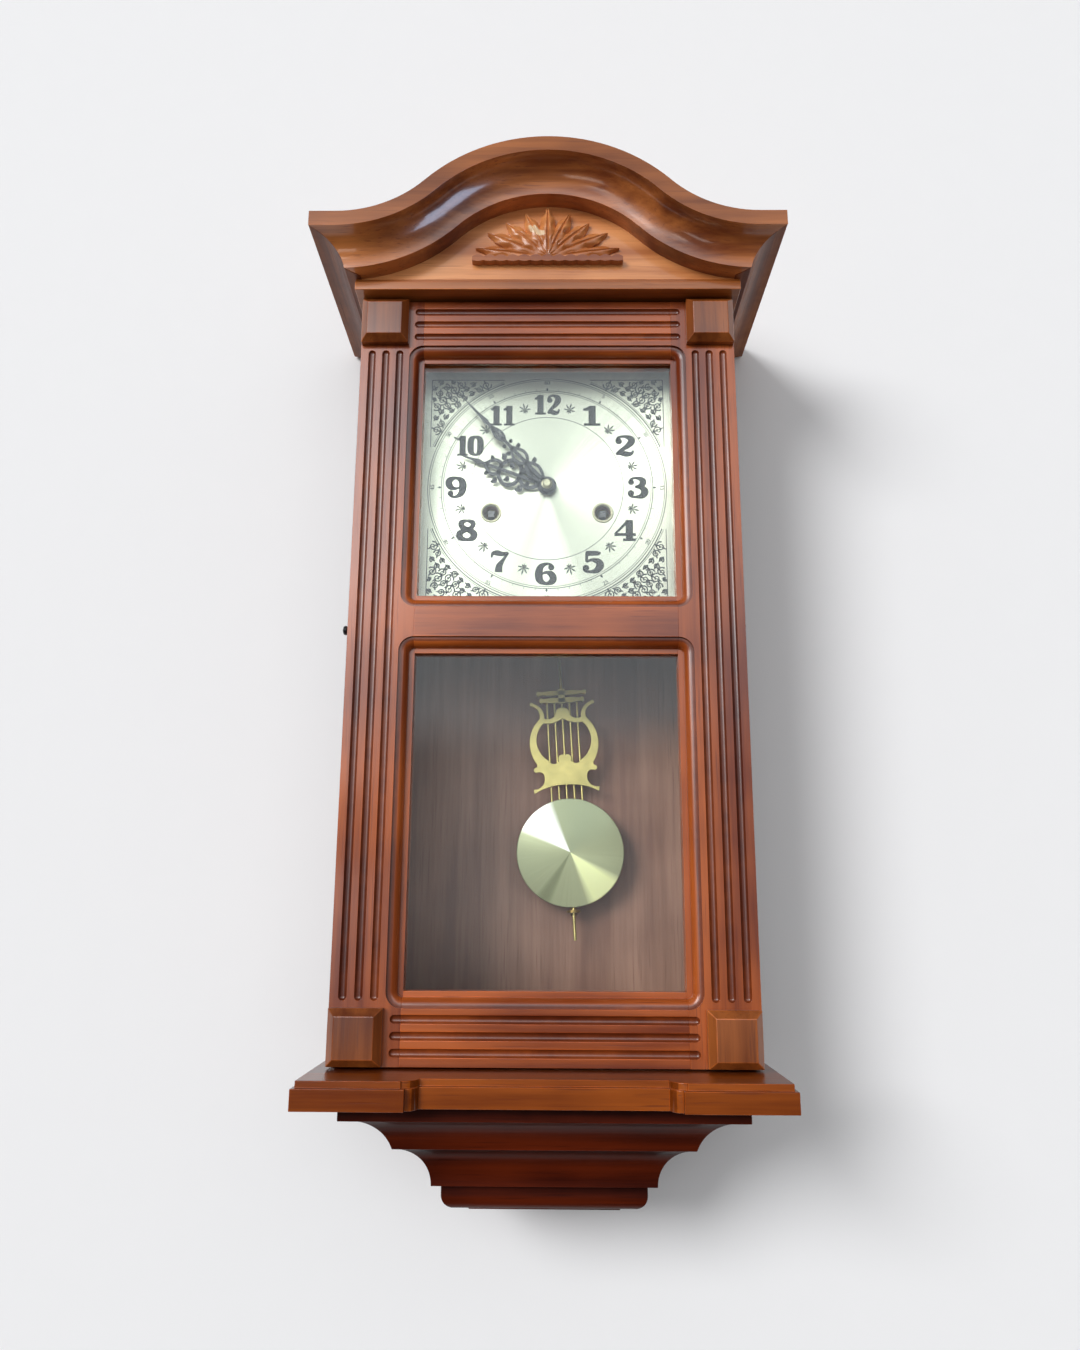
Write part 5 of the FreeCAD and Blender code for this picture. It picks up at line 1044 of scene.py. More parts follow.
class CLOCK_OT_leaf(bpy.types.Operator):
    """Carves the leaf on the tympanum"""

    bl_idname = "clock.leaf"
    bl_label = "Carved leaf"

    def execute(self, context):
        low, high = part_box("leaf_carving")
        pieces = [self.leaves(context.scene.clock_woods, low, high), self.strip(low, high.y - low.y)]
        leaf = join("leaf_carving_finished", pieces)
        hand_over(leaf, "case", SLOT_OF["leaf_carving"], "leaf_carving")
        return {"FINISHED"}

    def leaves(self, woods, low, high):
        """A fan of leaves, with a chip in the stain of one."""
        shape = bmesh.new()
        root = Vector((0, high.y, low.z + LEAF_ROOT * STRIP_HEIGHT))
        for degrees, reach, half, rise in LEAVES:
            heading = math.radians(degrees)
            for turned in sorted({heading, math.pi - heading}):
                leaf_blade(shape, root, turned, reach * MM, half * MM, rise * MM)
        bmesh.ops.recalc_face_normals(shape, faces=shape.faces)
        mesh = mesh_from(shape, "leaves")
        smooth(mesh)
        spot = (CHIP[0], low.y, low.z + CHIP[1])
        chip = (spot, (0, math.radians(CHIP_TURN), 0), CHIP_SIZE, tuple(woods.bare))
        # The leaf takes the tympanum's lightened stain, with its painted fill light.
        stains = (tuple(woods.tympanum_dark), tuple(woods.tympanum_light))
        carved = finish_named("carved_wood", wood, *stains, "X", coat=0.4, chip=chip)
        return link_piece("leaves", mesh, [carved])

    def strip(self, low, depth):
        """The scalloped strip that the leaves stand on."""
        bar = FlatDrawing()
        top, bottom = [], []
        steps = SCALLOPS * SCALLOP_STEPS
        for i in range(steps + 1):
            across = STRIP_HALF * (2 * i / steps - 1)
            wave = abs(math.sin(math.pi * SCALLOPS * (i / steps)))
            top.append(bar.corner(across, STRIP_HEIGHT * (STRIP_TOP[0] + STRIP_TOP[1] * wave)))
            bottom.append(bar.corner(across, STRIP_HEIGHT * STRIP_FOOT * (1 - wave)))
        bar.face(bottom + top[::-1])
        place = Matrix.Translation((0, low.y + STRIP_BACK * depth, low.z))
        strip = link_piece("strip", bar.mesh("strip", place), [stained("cove", "X")])
        return thicken(strip, (1 - STRIP_BACK) * depth)


# Dial

DIGITS = {
    # strokes of each digit as (across, up, half width), in shares of its height
    "0": [
        [(0.32, 0.97, 0.04), (0.12, 0.82, 0.09), (0.08, 0.5, 0.1), (0.12, 0.18, 0.09),
         (0.32, 0.03, 0.04), (0.52, 0.18, 0.09), (0.56, 0.5, 0.1), (0.52, 0.82, 0.09), (0.32, 0.97, 0.04)],
    ],
    "1": [
        [(0.32, 0, 0.095), (0.32, 1, 0.095)],
        [(0.3, 0.95, 0.04), (0.18, 0.84, 0.05), (0.04, 0.8, 0.03)],
        [(0.06, 0.035, 0.035), (0.58, 0.035, 0.035)],
    ],
    "2": [
        [(0.1, 0.74, 0.05), (0.14, 0.9, 0.04), (0.32, 0.965, 0.04), (0.52, 0.86, 0.085),
         (0.54, 0.68, 0.095), (0.4, 0.45, 0.07), (0.2, 0.25, 0.045), (0.06, 0.06, 0.03)],
        [(0.06, 0.05, 0.03), (0.2, 0.13, 0.07), (0.38, 0.075, 0.08), (0.54, 0.1, 0.05), (0.6, 0.26, 0.025)],
    ],
    "3": [
        [(0.1, 0.78, 0.05), (0.16, 0.93, 0.035), (0.32, 0.97, 0.04), (0.48, 0.88, 0.08),
         (0.5, 0.73, 0.09), (0.42, 0.58, 0.06), (0.26, 0.535, 0.03)],
        [(0.26, 0.535, 0.03), (0.46, 0.49, 0.07), (0.56, 0.3, 0.1), (0.48, 0.09, 0.08),
         (0.3, 0.03, 0.04), (0.14, 0.06, 0.035), (0.08, 0.2, 0.05)],
    ],
    "4": [
        [(0.46, 0, 0.095), (0.46, 1, 0.095)],
        [(0.44, 0.98, 0.04), (0.02, 0.32, 0.03)],
        [(0, 0.29, 0.04), (0.66, 0.29, 0.04)],
        [(0.26, 0.035, 0.035), (0.66, 0.035, 0.035)],
    ],
    "5": [
        [(0.16, 0.96, 0.04), (0.15, 0.52, 0.035)],
        [(0.13, 0.92, 0.07), (0.5, 0.93, 0.06), (0.55, 0.99, 0.02)],
        [(0.14, 0.5, 0.03), (0.3, 0.6, 0.04), (0.5, 0.52, 0.085), (0.56, 0.32, 0.1), (0.46, 0.1, 0.08),
         (0.28, 0.03, 0.04), (0.12, 0.07, 0.04), (0.08, 0.2, 0.05)],
    ],
    "6": [
        [(0.5, 0.82, 0.05), (0.46, 0.93, 0.04), (0.33, 0.97, 0.04), (0.16, 0.82, 0.08), (0.1, 0.5, 0.1),
         (0.14, 0.18, 0.09), (0.32, 0.03, 0.045), (0.5, 0.13, 0.085), (0.54, 0.32, 0.09),
         (0.46, 0.5, 0.08), (0.32, 0.56, 0.04), (0.18, 0.48, 0.03)],
    ],
    "7": [
        [(0.06, 0.7, 0.02), (0.1, 0.9, 0.05), (0.24, 0.93, 0.075), (0.4, 0.88, 0.06), (0.58, 0.95, 0.03)],
        [(0.57, 0.93, 0.03), (0.42, 0.6, 0.045), (0.3, 0.3, 0.085), (0.28, 0, 0.1)],
    ],
    "8": [
        [(0.32, 0.97, 0.04), (0.15, 0.87, 0.075), (0.17, 0.66, 0.075), (0.34, 0.52, 0.07),
         (0.53, 0.34, 0.09), (0.5, 0.12, 0.085), (0.32, 0.03, 0.045), (0.13, 0.12, 0.085),
         (0.1, 0.34, 0.085), (0.3, 0.51, 0.06), (0.48, 0.66, 0.06), (0.49, 0.87, 0.07), (0.32, 0.97, 0.04)],
    ],
}
ROUND_WIDTH = 0.64
DIGITS["9"] = [[(ROUND_WIDTH - x, 1 - y, half) for x, y, half in line] for line in DIGITS["6"]]
DIGIT_BALLS = {
    "2": [(0.15, 0.72, 0.085)],
    "3": [(0.14, 0.77, 0.08), (0.13, 0.22, 0.085)],
    "5": [(0.13, 0.21, 0.085)],
    "6": [(0.48, 0.8, 0.08)],
    "9": [(0.16, 0.2, 0.08)],
}
DIGIT_WIDTH = {"1": 0.62, "4": 0.72}
PLAIN_WIDTH = 0.68
DIGIT_STEPS = 6


def write_number(drawing, number, middle, height, widen, bold=1.0, turn=0.0):
    """Draws a number upright, or turned clockwise, with its middle at a place. Bold widens its strokes."""
    digits = str(number)
    widths = [DIGIT_WIDTH.get(digit, PLAIN_WIDTH) * widen for digit in digits]
    start = -sum(widths) / 2

    def spot(x, y):
        u, v = (start + x * widen) * height, (y - 0.5) * height
        return (
            middle[0] + u * math.cos(turn) + v * math.sin(turn),
            middle[1] - u * math.sin(turn) + v * math.cos(turn),
        )

    for digit, width in zip(digits, widths):
        for line in DIGITS[digit]:
            drawn = curve_through(line, 1 if len(line) == 2 else DIGIT_STEPS)
            drawing.ribbon([(*spot(x, y), half * bold * height) for x, y, half in drawn])
        for x, y, radius in DIGIT_BALLS.get(digit, ()):
            drawing.disc(*spot(x, y), radius * bold * height)
        start += width


CORNER_BORDER = (21, 69)
BORDER_STEPS = 40
BORDER_LINES = [
    # distance outside the ring and half width
    (0, 0.35 * MM),
    (1.1 * MM, 0.16 * MM),
]
CORNER_ROWS = 6
CORNER_START = 4.0 * MM
CORNER_ROW_STEP = 4.7 * MM
CORNER_SCROLL = 2.5 * MM
CORNER_PITCH = 2.15
CORNER_LEAST = 0.45
CORNER_EDGE = 0.8 * MM
EDGE_HALVES = (0.2 * MM, 0.3 * MM)
SWAY = (7.3, 4.1)
CORNER_SWAY = 0.3
CORNER_TURN = (0.6, 1.4)
CORNER_WIND = 1.4
CORNER_PEN = 0.5 * MM
LONG_LEAF = (2.4, 1.5, 0.6 * MM)
SHORT_LEAF = (0.9, 1.3, 0.5 * MM)


def corner_scrolls(drawing, reach, ring_radius):
    """A lace of scrolls and leaves that fills one corner outside the track, in rows along its curve."""
    first, last = [math.radians(value) for value in CORNER_BORDER]
    border = [first + (last - first) * i / BORDER_STEPS for i in range(BORDER_STEPS + 1)]
    for outside, half in BORDER_LINES:
        radius = ring_radius + outside
        drawing.ribbon([(radius * math.sin(a), radius * math.cos(a), half) for a in border])
    limit = reach - CORNER_EDGE
    for row in range(CORNER_ROWS):
        radius = ring_radius + CORNER_START + row * CORNER_ROW_STEP
        count = int((last - first) * radius / (CORNER_PITCH * CORNER_SCROLL))
        shift = 0.5 * (row % 2)
        for i in range(count + 1):
            angle = first + (last - first) * (i + shift) / count
            across, up = radius * math.sin(angle), radius * math.cos(angle)
            room = limit - max(across, up)
            if room < CORNER_LEAST * CORNER_SCROLL:
                continue
            mirrored = min(i + shift, count - i - shift)
            sway = math.sin(SWAY[0] * mirrored + SWAY[1] * row)
            size = min(CORNER_SCROLL * (1 + CORNER_SWAY * sway), room)
            way = 1 if angle > TURN / 8 else -1
            turn = CORNER_TURN[0] + CORNER_TURN[1] * sway
            drawing.scroll(across, up, size, angle + way * turn, CORNER_WIND, CORNER_PEN, way)
            heading, share, half = LONG_LEAF
            drawing.petal(across, up, angle + way * (heading + sway), share * size, half)
            heading, share, half = SHORT_LEAF
            drawing.petal(across, up, angle - way * (heading - sway), share * size, half)
    start = ring_radius * math.sin(first)
    edge = [(start, limit, EDGE_HALVES[0]), (limit, limit, EDGE_HALVES[1])]
    drawing.ribbon(edge)
    drawing.ribbon([(up, across, half) for across, up, half in edge])


PRINT_THICKNESS = 0.05 * MM
DIAL_ROUGH = 0.42
DIAL_SPREAD = 0.6
DIAL_PAINTED_REFLECTIONS = [
    # heading, half width and softness in degrees, brightness of each painted highlight or painted dark reflection
    (130, 24, 20, 0.8),
    (0, 20, 18, 0.82),
    (70, 10, 12, 1.12),
    (240, 30, 24, 1.12),
    (178, 9, 10, 1.25),
]
ONE_DIGIT = (1.5, 1.8)
TWO_DIGITS = (0.98, 1.55)
LINE = 0.2 * MM
FINE_LINE = 0.16 * MM
BOLD_LINE = 0.24 * MM
LINE_APART = 0.6 * MM
MINUTE_HEIGHT = 2.4 * MM
MINUTE_STROKES = (1.1, 1.2)
MINUTE_OUT = 1.03
CORNER_GAP = 2.2 * MM
TICK_SPAN = (0.6 * MM, 2.2 * MM)
DIAMOND_IN = 2.6 * MM
DIAMOND = [
    # height and half width in millimetres
    (-1.3, 0.02),
    (0, 0.75),
    (1.3, 0.02),
]
SPRIG_IN = 2.2 * MM
SPRIG_STEM = 2.6 * MM
STEM_HALVES = (0.2 * MM, 0.3 * MM)
SPRIG_PETALS = [
    # heading to each side in degrees and reach in millimetres
    (0, 5.2),
    (40, 4.6),
    (-40, 4.6),
    (88, 3.8),
    (-88, 3.8),
    (142, 2.4),
    (-142, 2.4),
]
PETAL_HALF = 0.52 * MM
RIM_PROFILE = [(4.85, 0), (6.6, 0), (6.6, 0.3), (6.2, 0.75), (5.5, 0.75), (5.0, 0.4)]


def print_piece(name, drawing, place, finish):
    """Prints a drawing on the dial."""
    piece = link_piece(name, drawing.mesh(name, place), [finish])
    hand_over(thicken(piece, PRINT_THICKNESS), "case", SLOT_OF["dial_plate"])


def print_ring(name, drawing, finish, count, pivot, start=0.0):
    """Prints copies of a small drawing evenly round the dial's centre."""
    motif = drawing.mesh(name + "_motif", Matrix())
    copies = ring_of(name, motif, finish, count, pivot, (0, 1, 0), start)
    hand_over(thicken(copies, PRINT_THICKNESS), "case", SLOT_OF["dial_plate"])


class CLOCK_OT_dial(bpy.types.Operator):
    """Brushes the dial with painted highlight and dark reflection wedges, and prints its numerals, lines, sprigs
    and corner scrolls
    """

    bl_idname = "clock.dial"
    bl_label = "Dial"

    def execute(self, context):
        self.sizes = context.scene.clock_dial
        low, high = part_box("dial_plate")
        centre = (low + high) / 2
        self.pivot = (centre.x, low.y - PRINT_THICKNESS, centre.z)
        self.track = (self.sizes.track_inner + self.sizes.track_outer) / 2
        dark, light = tuple(self.sizes.metal_dark), tuple(self.sizes.metal_light)
        painted_reflections = [(*wedge, tuple(value * gain for value in light)) for *wedge, gain in DIAL_PAINTED_REFLECTIONS]
        brushed = (dark, light, tuple(centre), DIAL_ROUGH, DIAL_SPREAD, painted_reflections)
        dress(finish_named("brushed_dial", sunburst, *brushed), "dial_plate")
        self.black = finish_named("numeral_ink", ink, tuple(self.sizes.ink))
        self.grey = finish_named("line_ink", ink, tuple(self.sizes.fine_ink))
        self.numbers()
        self.ornament()
        self.rims(low.y)
        return {"FINISHED"}

    def numbers(self):
        """The hour numerals, the lines of the minute track and its numbers."""
        place = Matrix.Translation(self.pivot)
        numerals, lines = FlatDrawing(), FlatDrawing()
        for hour in range(1, 13):
            angle = TURN * hour / 12
            middle = [self.sizes.numeral_radius * share for share in (math.sin(angle), math.cos(angle))]
            strokes = ONE_DIGIT if hour < 10 else TWO_DIGITS
            write_number(numerals, hour, middle, self.sizes.numeral_height, *strokes)
        print_piece("dial_numerals", numerals, place, self.black)
        lines.ring(self.sizes.inner_radius, LINE)
        for radius in (self.sizes.track_inner, self.sizes.track_outer):
            lines.ring(radius - LINE_APART, FINE_LINE)
            lines.ring(radius + LINE_APART, BOLD_LINE)
        for five in range(1, 13):
            angle = TURN * five / 12
            middle = [MINUTE_OUT * self.track * share for share in (math.sin(angle), math.cos(angle))]
            upright = angle if abs(five % 12 - 6) > 2 else angle + math.pi
            write_number(lines, five * 5, middle, MINUTE_HEIGHT, *MINUTE_STROKES, upright)
        print_piece("dial_lines", lines, place, self.grey)

    def ornament(self):
        """The corner scrolls, the minute ticks, the hour diamonds and the sprigs between the numerals."""
        corners = FlatDrawing()
        corner_scrolls(corners, self.sizes.corner_reach, self.sizes.track_outer + CORNER_GAP)
        print_ring("dial_corners", corners, self.black, 4, self.pivot)
        tick = FlatDrawing()
        tick.ribbon([(0, self.sizes.track_inner + up, FINE_LINE) for up in TICK_SPAN])
        print_ring("dial_minutes", tick, self.grey, 60, self.pivot)
        diamond = FlatDrawing()
        diamond.ribbon([(0, self.track - DIAMOND_IN + up * MM, half * MM) for up, half in DIAMOND])
        print_ring("dial_diamonds", diamond, self.black, 12, self.pivot)
        sprig = FlatDrawing()
        root = self.sizes.numeral_radius - SPRIG_IN
        sprig.ribbon([(0, root - SPRIG_STEM, STEM_HALVES[0]), (0, root, STEM_HALVES[1])])
        for degrees, reach in SPRIG_PETALS:
            sprig.petal(0, root, math.radians(degrees), reach * MM, PETAL_HALF)
        print_ring("dial_sprigs", sprig, self.grey, 12, self.pivot, TURN / 24)

    def rims(self, face):
        """Turned rims round the winding holes."""
        for name, joint in (("going", "going_winding_turn"), ("strike", "strike_winding_turn")):
            spot = JOINTS[joint]["pos_m"]
            seat = Matrix.Translation((spot[0], face, spot[2])) @ FACING
            rim = lathe(f"{name}_rim", scaled(RIM_PROFILE, MM, MM), seat, [pale_brass()], hollow=True)
            hand_over(rim, "case", "brass")


# Hands

HOUR_DRAWN = 59
HOUR_HUB = (6.0 * MM, 3.2 * MM)
HOUR_BANDS = [
    # openwork as (across, up, half width) in the drawn length's units
    [(0.6, 4, 1.2), (4.2, 8, 1.2), (5.6, 12.5, 1.2), (3.0, 17, 1.1), (0.6, 19, 1.0)],
    [(0.6, 18, 1.0), (6.4, 20, 1.3), (8.6, 25.5, 1.2), (5.2, 30.5, 1.2), (0.6, 32, 1.1)],
    [(0.6, 31, 1.0), (4.2, 33, 1.2), (4.6, 37, 1.1), (0.5, 41.5, 1.1)],
]
HOUR_SCROLLS = [(7.6, 15.8, 2.5), (8.2, 32.4, 2.0), (4.4, 25.4, 1.8), (3.2, 12.2, 1.4), (5.2, 39.0, 1.2)]
MINUTE_DRAWN = 77
MINUTE_HUB = (4.6 * MM, 1.6 * MM)
MINUTE_BANDS = [
    [(0.5, 3.5, 1.0), (3.0, 8, 1.0), (4.0, 13, 1.0), (1.6, 18, 0.9), (0.4, 20, 0.9)],
    [(0.4, 19, 0.9), (3.2, 22, 1.0), (4.0, 26.5, 0.9), (1.8, 31, 0.9), (0.4, 33.5, 0.9)],
    [(0.4, 40, 0.8), (1.9, 43, 0.9), (2.1, 47, 0.8), (0.4, 52, 0.8)],
]
MINUTE_SCROLLS = [(4.6, 17.4, 1.6), (3.8, 31.6, 1.3), (2.4, 37.0, 0.9)]
BAND_STEPS = 5
SCROLL_HALF = 0.75
HAND_SCROLL = (0.6, 1.1)
SPINE_FOOT = (0.9, 1.2)
SPINE = [
    # shares of the openwork's length and half widths in millimetres
    (1.0, 1.0),
    (1.1, 1.7),
    (1.22, 0.9),
]
SPINE_POINT = [
    # shares of the hand's length and half widths in millimetres
    (0.93, 0.55),
    (1.0, 0.1),
]
HUB_CORNERS = 48
NUT_CORNERS = 32
NUT_PROFILE = [(1, 0), (1, 0.3), (0.82, 0.42), (0.78, 0.8), (0.6, 1), (0, 1)]


def blade(drawing, bands, scrolls, scale):
    """Half of a hand's openwork, on its right-hand side. Bands are (across, up, half width)."""
    for band in bands:
        drawing.ribbon(curve_through([(u * scale, v * scale, w * scale) for u, v, w in band], BAND_STEPS))
    for u, v, radius in scrolls:
        drawing.scroll(u * scale, v * scale, radius * scale, *HAND_SCROLL, SCROLL_HALF * scale)


def pointing(node):
    """The angle at which a CAD hand points, clockwise from the top, and its length."""
    axis = Vector(JOINTS["minute_turn"]["pos_m"])
    spans = [Vector(corner.co) - axis for corner in NODES[node].data.vertices]
    tip = max(spans, key=lambda away: math.hypot(away.x, away.z))
    return math.atan2(tip.x, tip.z), math.hypot(tip.x, tip.z)


def clock_hand(node, bands, scrolls, drawn, hub, bore):
    """A pierced hand in the place of its CAD piece. Drawn is the length that its bands are drawn for."""
    low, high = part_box(node)
    angle, reach = pointing(node)
    drawing = FlatDrawing()
    blade(drawing, bands, scrolls, reach / drawn)
    mirrored = bmesh.ops.duplicate(drawing.shape, geom=list(drawing.shape.faces))["geom"]
    twins = [item for item in mirrored if isinstance(item, bmesh.types.BMVert)]
    bmesh.ops.scale(drawing.shape, vec=(-1, 1, 1), verts=twins)
    turned = [item for item in mirrored if isinstance(item, bmesh.types.BMFace)]
    bmesh.ops.reverse_faces(drawing.shape, faces=turned)
    work_end = bands[-1][-1][1] * reach / drawn
    spine = [(0, hub * SPINE_FOOT[0], SPINE_FOOT[1] * MM)]
    spine += [(0, work_end * share, half * MM) for share, half in SPINE]
    spine += [(0, reach * share, half * MM) for share, half in SPINE_POINT]
    drawing.ribbon(curve_through(spine, BAND_STEPS))
    half = (hub - bore) / 2
    drawing.ring(bore + half, half, HUB_CORNERS)
    axis = JOINTS["minute_turn"]["pos_m"]
    place = Matrix.Translation((axis[0], low.y, axis[2])) @ Matrix.Rotation(angle, 4, "Y")
    piece = link_piece(node + "_finished", drawing.mesh(node + "_finished", place), [blacking()])
    thicken(piece, high.y - low.y)
    hand_over(piece, BODY_OF[node], SLOT_OF[node], node)


class CLOCK_OT_hands(bpy.types.Operator):
    """Pierces the hands and fits their nut"""

    bl_idname = "clock.hands"
    bl_label = "Hands"

    def execute(self, context):
        clock_hand("hour_hand", HOUR_BANDS, HOUR_SCROLLS, HOUR_DRAWN, *HOUR_HUB)
        clock_hand("minute_hand", MINUTE_BANDS, MINUTE_SCROLLS, MINUTE_DRAWN, *MINUTE_HUB)
        low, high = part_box("hand_nut")
        profile = scaled(NUT_PROFILE, (high.x - low.x) / 2, high.y - low.y)
        seat = Matrix.Translation(((low.x + high.x) / 2, high.y, (low.z + high.z) / 2)) @ FACING
        nut = lathe("hand_nut_finished", profile, seat, [pale_brass()], NUT_CORNERS)
        hand_over(nut, BODY_OF["hand_nut"], SLOT_OF["hand_nut"], "hand_nut")
        return {"FINISHED"}


# Pendulum


def hanging_frame():
    """The pendulum's own frame: its origin on the axis it swings about, leaned as it hangs in the CAD."""
    pivot = Vector(JOINTS["pendulum_swing"]["pos_m"])
    axis = Vector(JOINTS["rating_nut_turn"]["axis"])
    lean = math.atan2(-axis.x, axis.z)
    return Matrix.Translation(pivot) @ Matrix.Rotation(-lean, 4, "Y"), pivot


ROD_LENGTH = 276
STRINGS = 5
STRING_PITCH = 4.9
STRING_RADIUS = 0.7
STRING_DEPTH = 1.6
STRING_SPAN = (20, 99)
STEM_RADIUS = 1.0
STEM_SPAN = (99, 256)
TAIL_SPAN = (-54, -30)
CROSSBARS = [
    # height on the pendulum, half length and half height in millimetres
    (103.4, 16.4, 1.5),
    (98.6, 14.6, 1.7),
]
CROSSBAR_SHAPE = [
    # shares of the half length and of the half height
    (-1, 0.3), (-0.93, 1.0), (-0.8, 0.65), (-0.4, 1.0), (0, 0.8),
    (0.4, 1.0), (0.8, 0.65), (0.93, 1.0), (1, 0.3),
]
CROSSBAR_STEPS = 4
COLLAR_SPAN = (96.5, 106)
COLLAR_HALF = 2.2
PLATE_FRONT = -1.0
PLATE_THICK = 3.4
BAR_CORNERS = 12
STAMPED_ROUGH = 0.36
STAMPED_MOTTLE = 0.1
LYRE_ROUND = 0.35 * MM
SPRING_ROUND = 0.1 * MM
BOB_SPREAD = 1.03
BOB_CORNERS = 128
BOB_DIM = 0.8
BOB_ROUGH = 0.3
BOB_BRUSH = 0.7
BOB_METALLIC = 0.35
BOB_PROFILE = [(0, 0), (0.8, 0.02), (0.97, 0.3), (1, 0.62), (1, 0.9), (0.99, 0.98), (0.975, 1), (0, 1)]
RATING_TALL = 5.0 * MM
RATING_BORE = 1.06 * MM
RATING_CORNERS = 36
RATING_PROFILE = [
    # shares of the radius and of the height
    (0.45, -0.5), (0.55, -0.3), (0.4, -0.16), (0.9, -0.1), (0.9, 0.24), (0.42, 0.3), (0.5, 0.5),
]
KNURLS = 28
KNURL_DEEP = 0.22
KNURL_WIDE = 0.1
KNURL_TALL = 0.32
KNURL_OUT = 0.86
KNURL_UP = 0.07
BOB_PAINTED_REFLECTIONS = [
    # heading, half width and softness in degrees, colour of each painted dark reflection or painted highlight
    (210, 6, 4, display(140, 146, 108)),
    (20, 30, 28, display(166, 174, 138)),
    (138, 19, 5, display(248, 255, 190)),
    (316, 21, 4, display(255, 255, 244)),
]


class CLOCK_OT_pendulum(bpy.types.Operator):
    """Finishes the pendulum: rod, strings, lyre, bob and rating nut"""

    bl_idname = "clock.pendulum"
    bl_label = "Pendulum"

    def execute(self, context):
        metals = context.scene.clock_metals
        self.hanging, self.pivot = hanging_frame()
        lyre = tuple(metals.lyre)
        self.stamped = finish_named("stamped_brass", metal, lyre, STAMPED_ROUGH, mottle=STAMPED_MOTTLE)
        self.bob(metals)
        softened("lyre", [self.stamped], LYRE_ROUND)
        self.rod()
        softened("suspension_spring", [steel()], SPRING_ROUND)
        self.rating_nut()
        return {"FINISHED"}

    def bob(self, metals):
        """A turned disc with a flat brushed face, with painted highlights and painted dark reflections in its
        colour.
        """
        low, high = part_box("bob")
        centre = (low + high) / 2
        radius = BOB_SPREAD * (high.x - low.x) / 2
        dim = tuple(BOB_DIM * value for value in metals.bob)
        brush = (tuple(centre), BOB_ROUGH, BOB_BRUSH, BOB_PAINTED_REFLECTIONS)
        brushed = finish_named("brushed_bob", sunburst, dim, tuple(metals.bob), *brush, metallic=BOB_METALLIC)
        seat = Matrix.Translation((centre.x, high.y, centre.z)) @ FACING
        profile = scaled(BOB_PROFILE, radius, high.y - low.y)
        disc = lathe("bob_finished", profile, seat, [brushed], BOB_CORNERS)
        hand_over(disc, BODY_OF["bob"], SLOT_OF["bob"], "bob")

    def bar(self, start, end, radius, across=0.0, depth=0.0):
        """A round bar down the pendulum between two heights above the bob's centre."""
        seat = self.hanging @ Matrix.Translation((across * MM, depth * MM, (start - ROD_LENGTH) * MM))
        tall = (end - start) * MM
        return lathe("bar", [(radius * MM, 0), (radius * MM, tall)], seat, [self.stamped], BAR_CORNERS)

    def rod(self):
        """The stem, the two crossbars, the strings and the tail."""
        pieces = [self.bar(*STEM_SPAN, STEM_RADIUS), self.bar(*TAIL_SPAN, STEM_RADIUS)]
        for i in range(STRINGS):
            across = (i - (STRINGS - 1) / 2) * STRING_PITCH
            pieces.append(self.bar(*STRING_SPAN, STRING_RADIUS, across, STRING_DEPTH))
        shapes = FlatDrawing()
        for up, half_length, half_height in CROSSBARS:
            height = (up - ROD_LENGTH) * MM
            line = [(half_length * s * MM, height, half_height * w * MM) for s, w in CROSSBAR_SHAPE]
            shapes.ribbon(curve_through(line, CROSSBAR_STEPS))
        shapes.ribbon([(0, (up - ROD_LENGTH) * MM, COLLAR_HALF * MM) for up in COLLAR_SPAN])
        place = self.hanging @ Matrix.Translation((0, PLATE_FRONT * MM, 0))
        plates = link_piece("plates", shapes.mesh("plates", place), [self.stamped])
        pieces.append(thicken(plates, PLATE_THICK * MM))
        rod = join("pendulum_rod_finished", pieces)
        hand_over(rod, BODY_OF["pendulum_rod"], SLOT_OF["pendulum_rod"], "pendulum_rod")

    def rating_nut(self):
        """A turned nut with a knurled collar."""
        low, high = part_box("rating_nut")
        middle = (low + high) / 2
        down = math.hypot(middle.x - self.pivot.x, middle.z - self.pivot.z)
        seat = self.hanging @ Matrix.Translation((0, middle.y - self.pivot.y, -down))
        tall = RATING_TALL
        radius = (high.y - low.y) / 2
        turned = scaled(RATING_PROFILE, radius, tall)
        profile = [(RATING_BORE, -tall / 2), *turned, (RATING_BORE, tall / 2)]
        body = lathe("rating_nut_body", profile, seat, [brass()], RATING_CORNERS, hollow=True)
        ridge = bmesh.new()
        bmesh.ops.create_cube(ridge, size=1.0)
        size = (KNURL_DEEP * radius, KNURL_WIDE * radius, KNURL_TALL * tall)
        bmesh.ops.scale(ridge, vec=size, verts=ridge.verts)
        bmesh.ops.translate(ridge, vec=(KNURL_OUT * radius, 0, KNURL_UP * tall), verts=ridge.verts)
        upright = self.hanging.to_3x3()
        bmesh.ops.transform(ridge, matrix=upright.to_4x4(), verts=ridge.verts)
        axis = upright @ Vector((0, 0, 1))
        motif = mesh_from(ridge, "ridge")
        centre = tuple(seat.translation)
        knurl = ring_of("rating_nut_knurl", motif, brass(), KNURLS, centre, tuple(axis))
        nut = join("rating_nut_finished", [body, knurl])
        hand_over(nut, BODY_OF["rating_nut"], SLOT_OF["rating_nut"], "rating_nut")


# Movement and furniture

HANGER_ROUND = 0.15 * MM
HINGE_ROUND = 0.12 * MM
ARBOR_DIM = 0.3
ARBOR_ROUGH = 0.45
KNOB_CORNERS = 32
KNOB_PROFILE = [
    # shares of the radius and of the reach
    (0.5, 0), (0.5, 0.55), (0.62, 0.6), (0.95, 0.66), (1, 0.78), (0.86, 0.92), (0.4, 1), (0, 1),
]


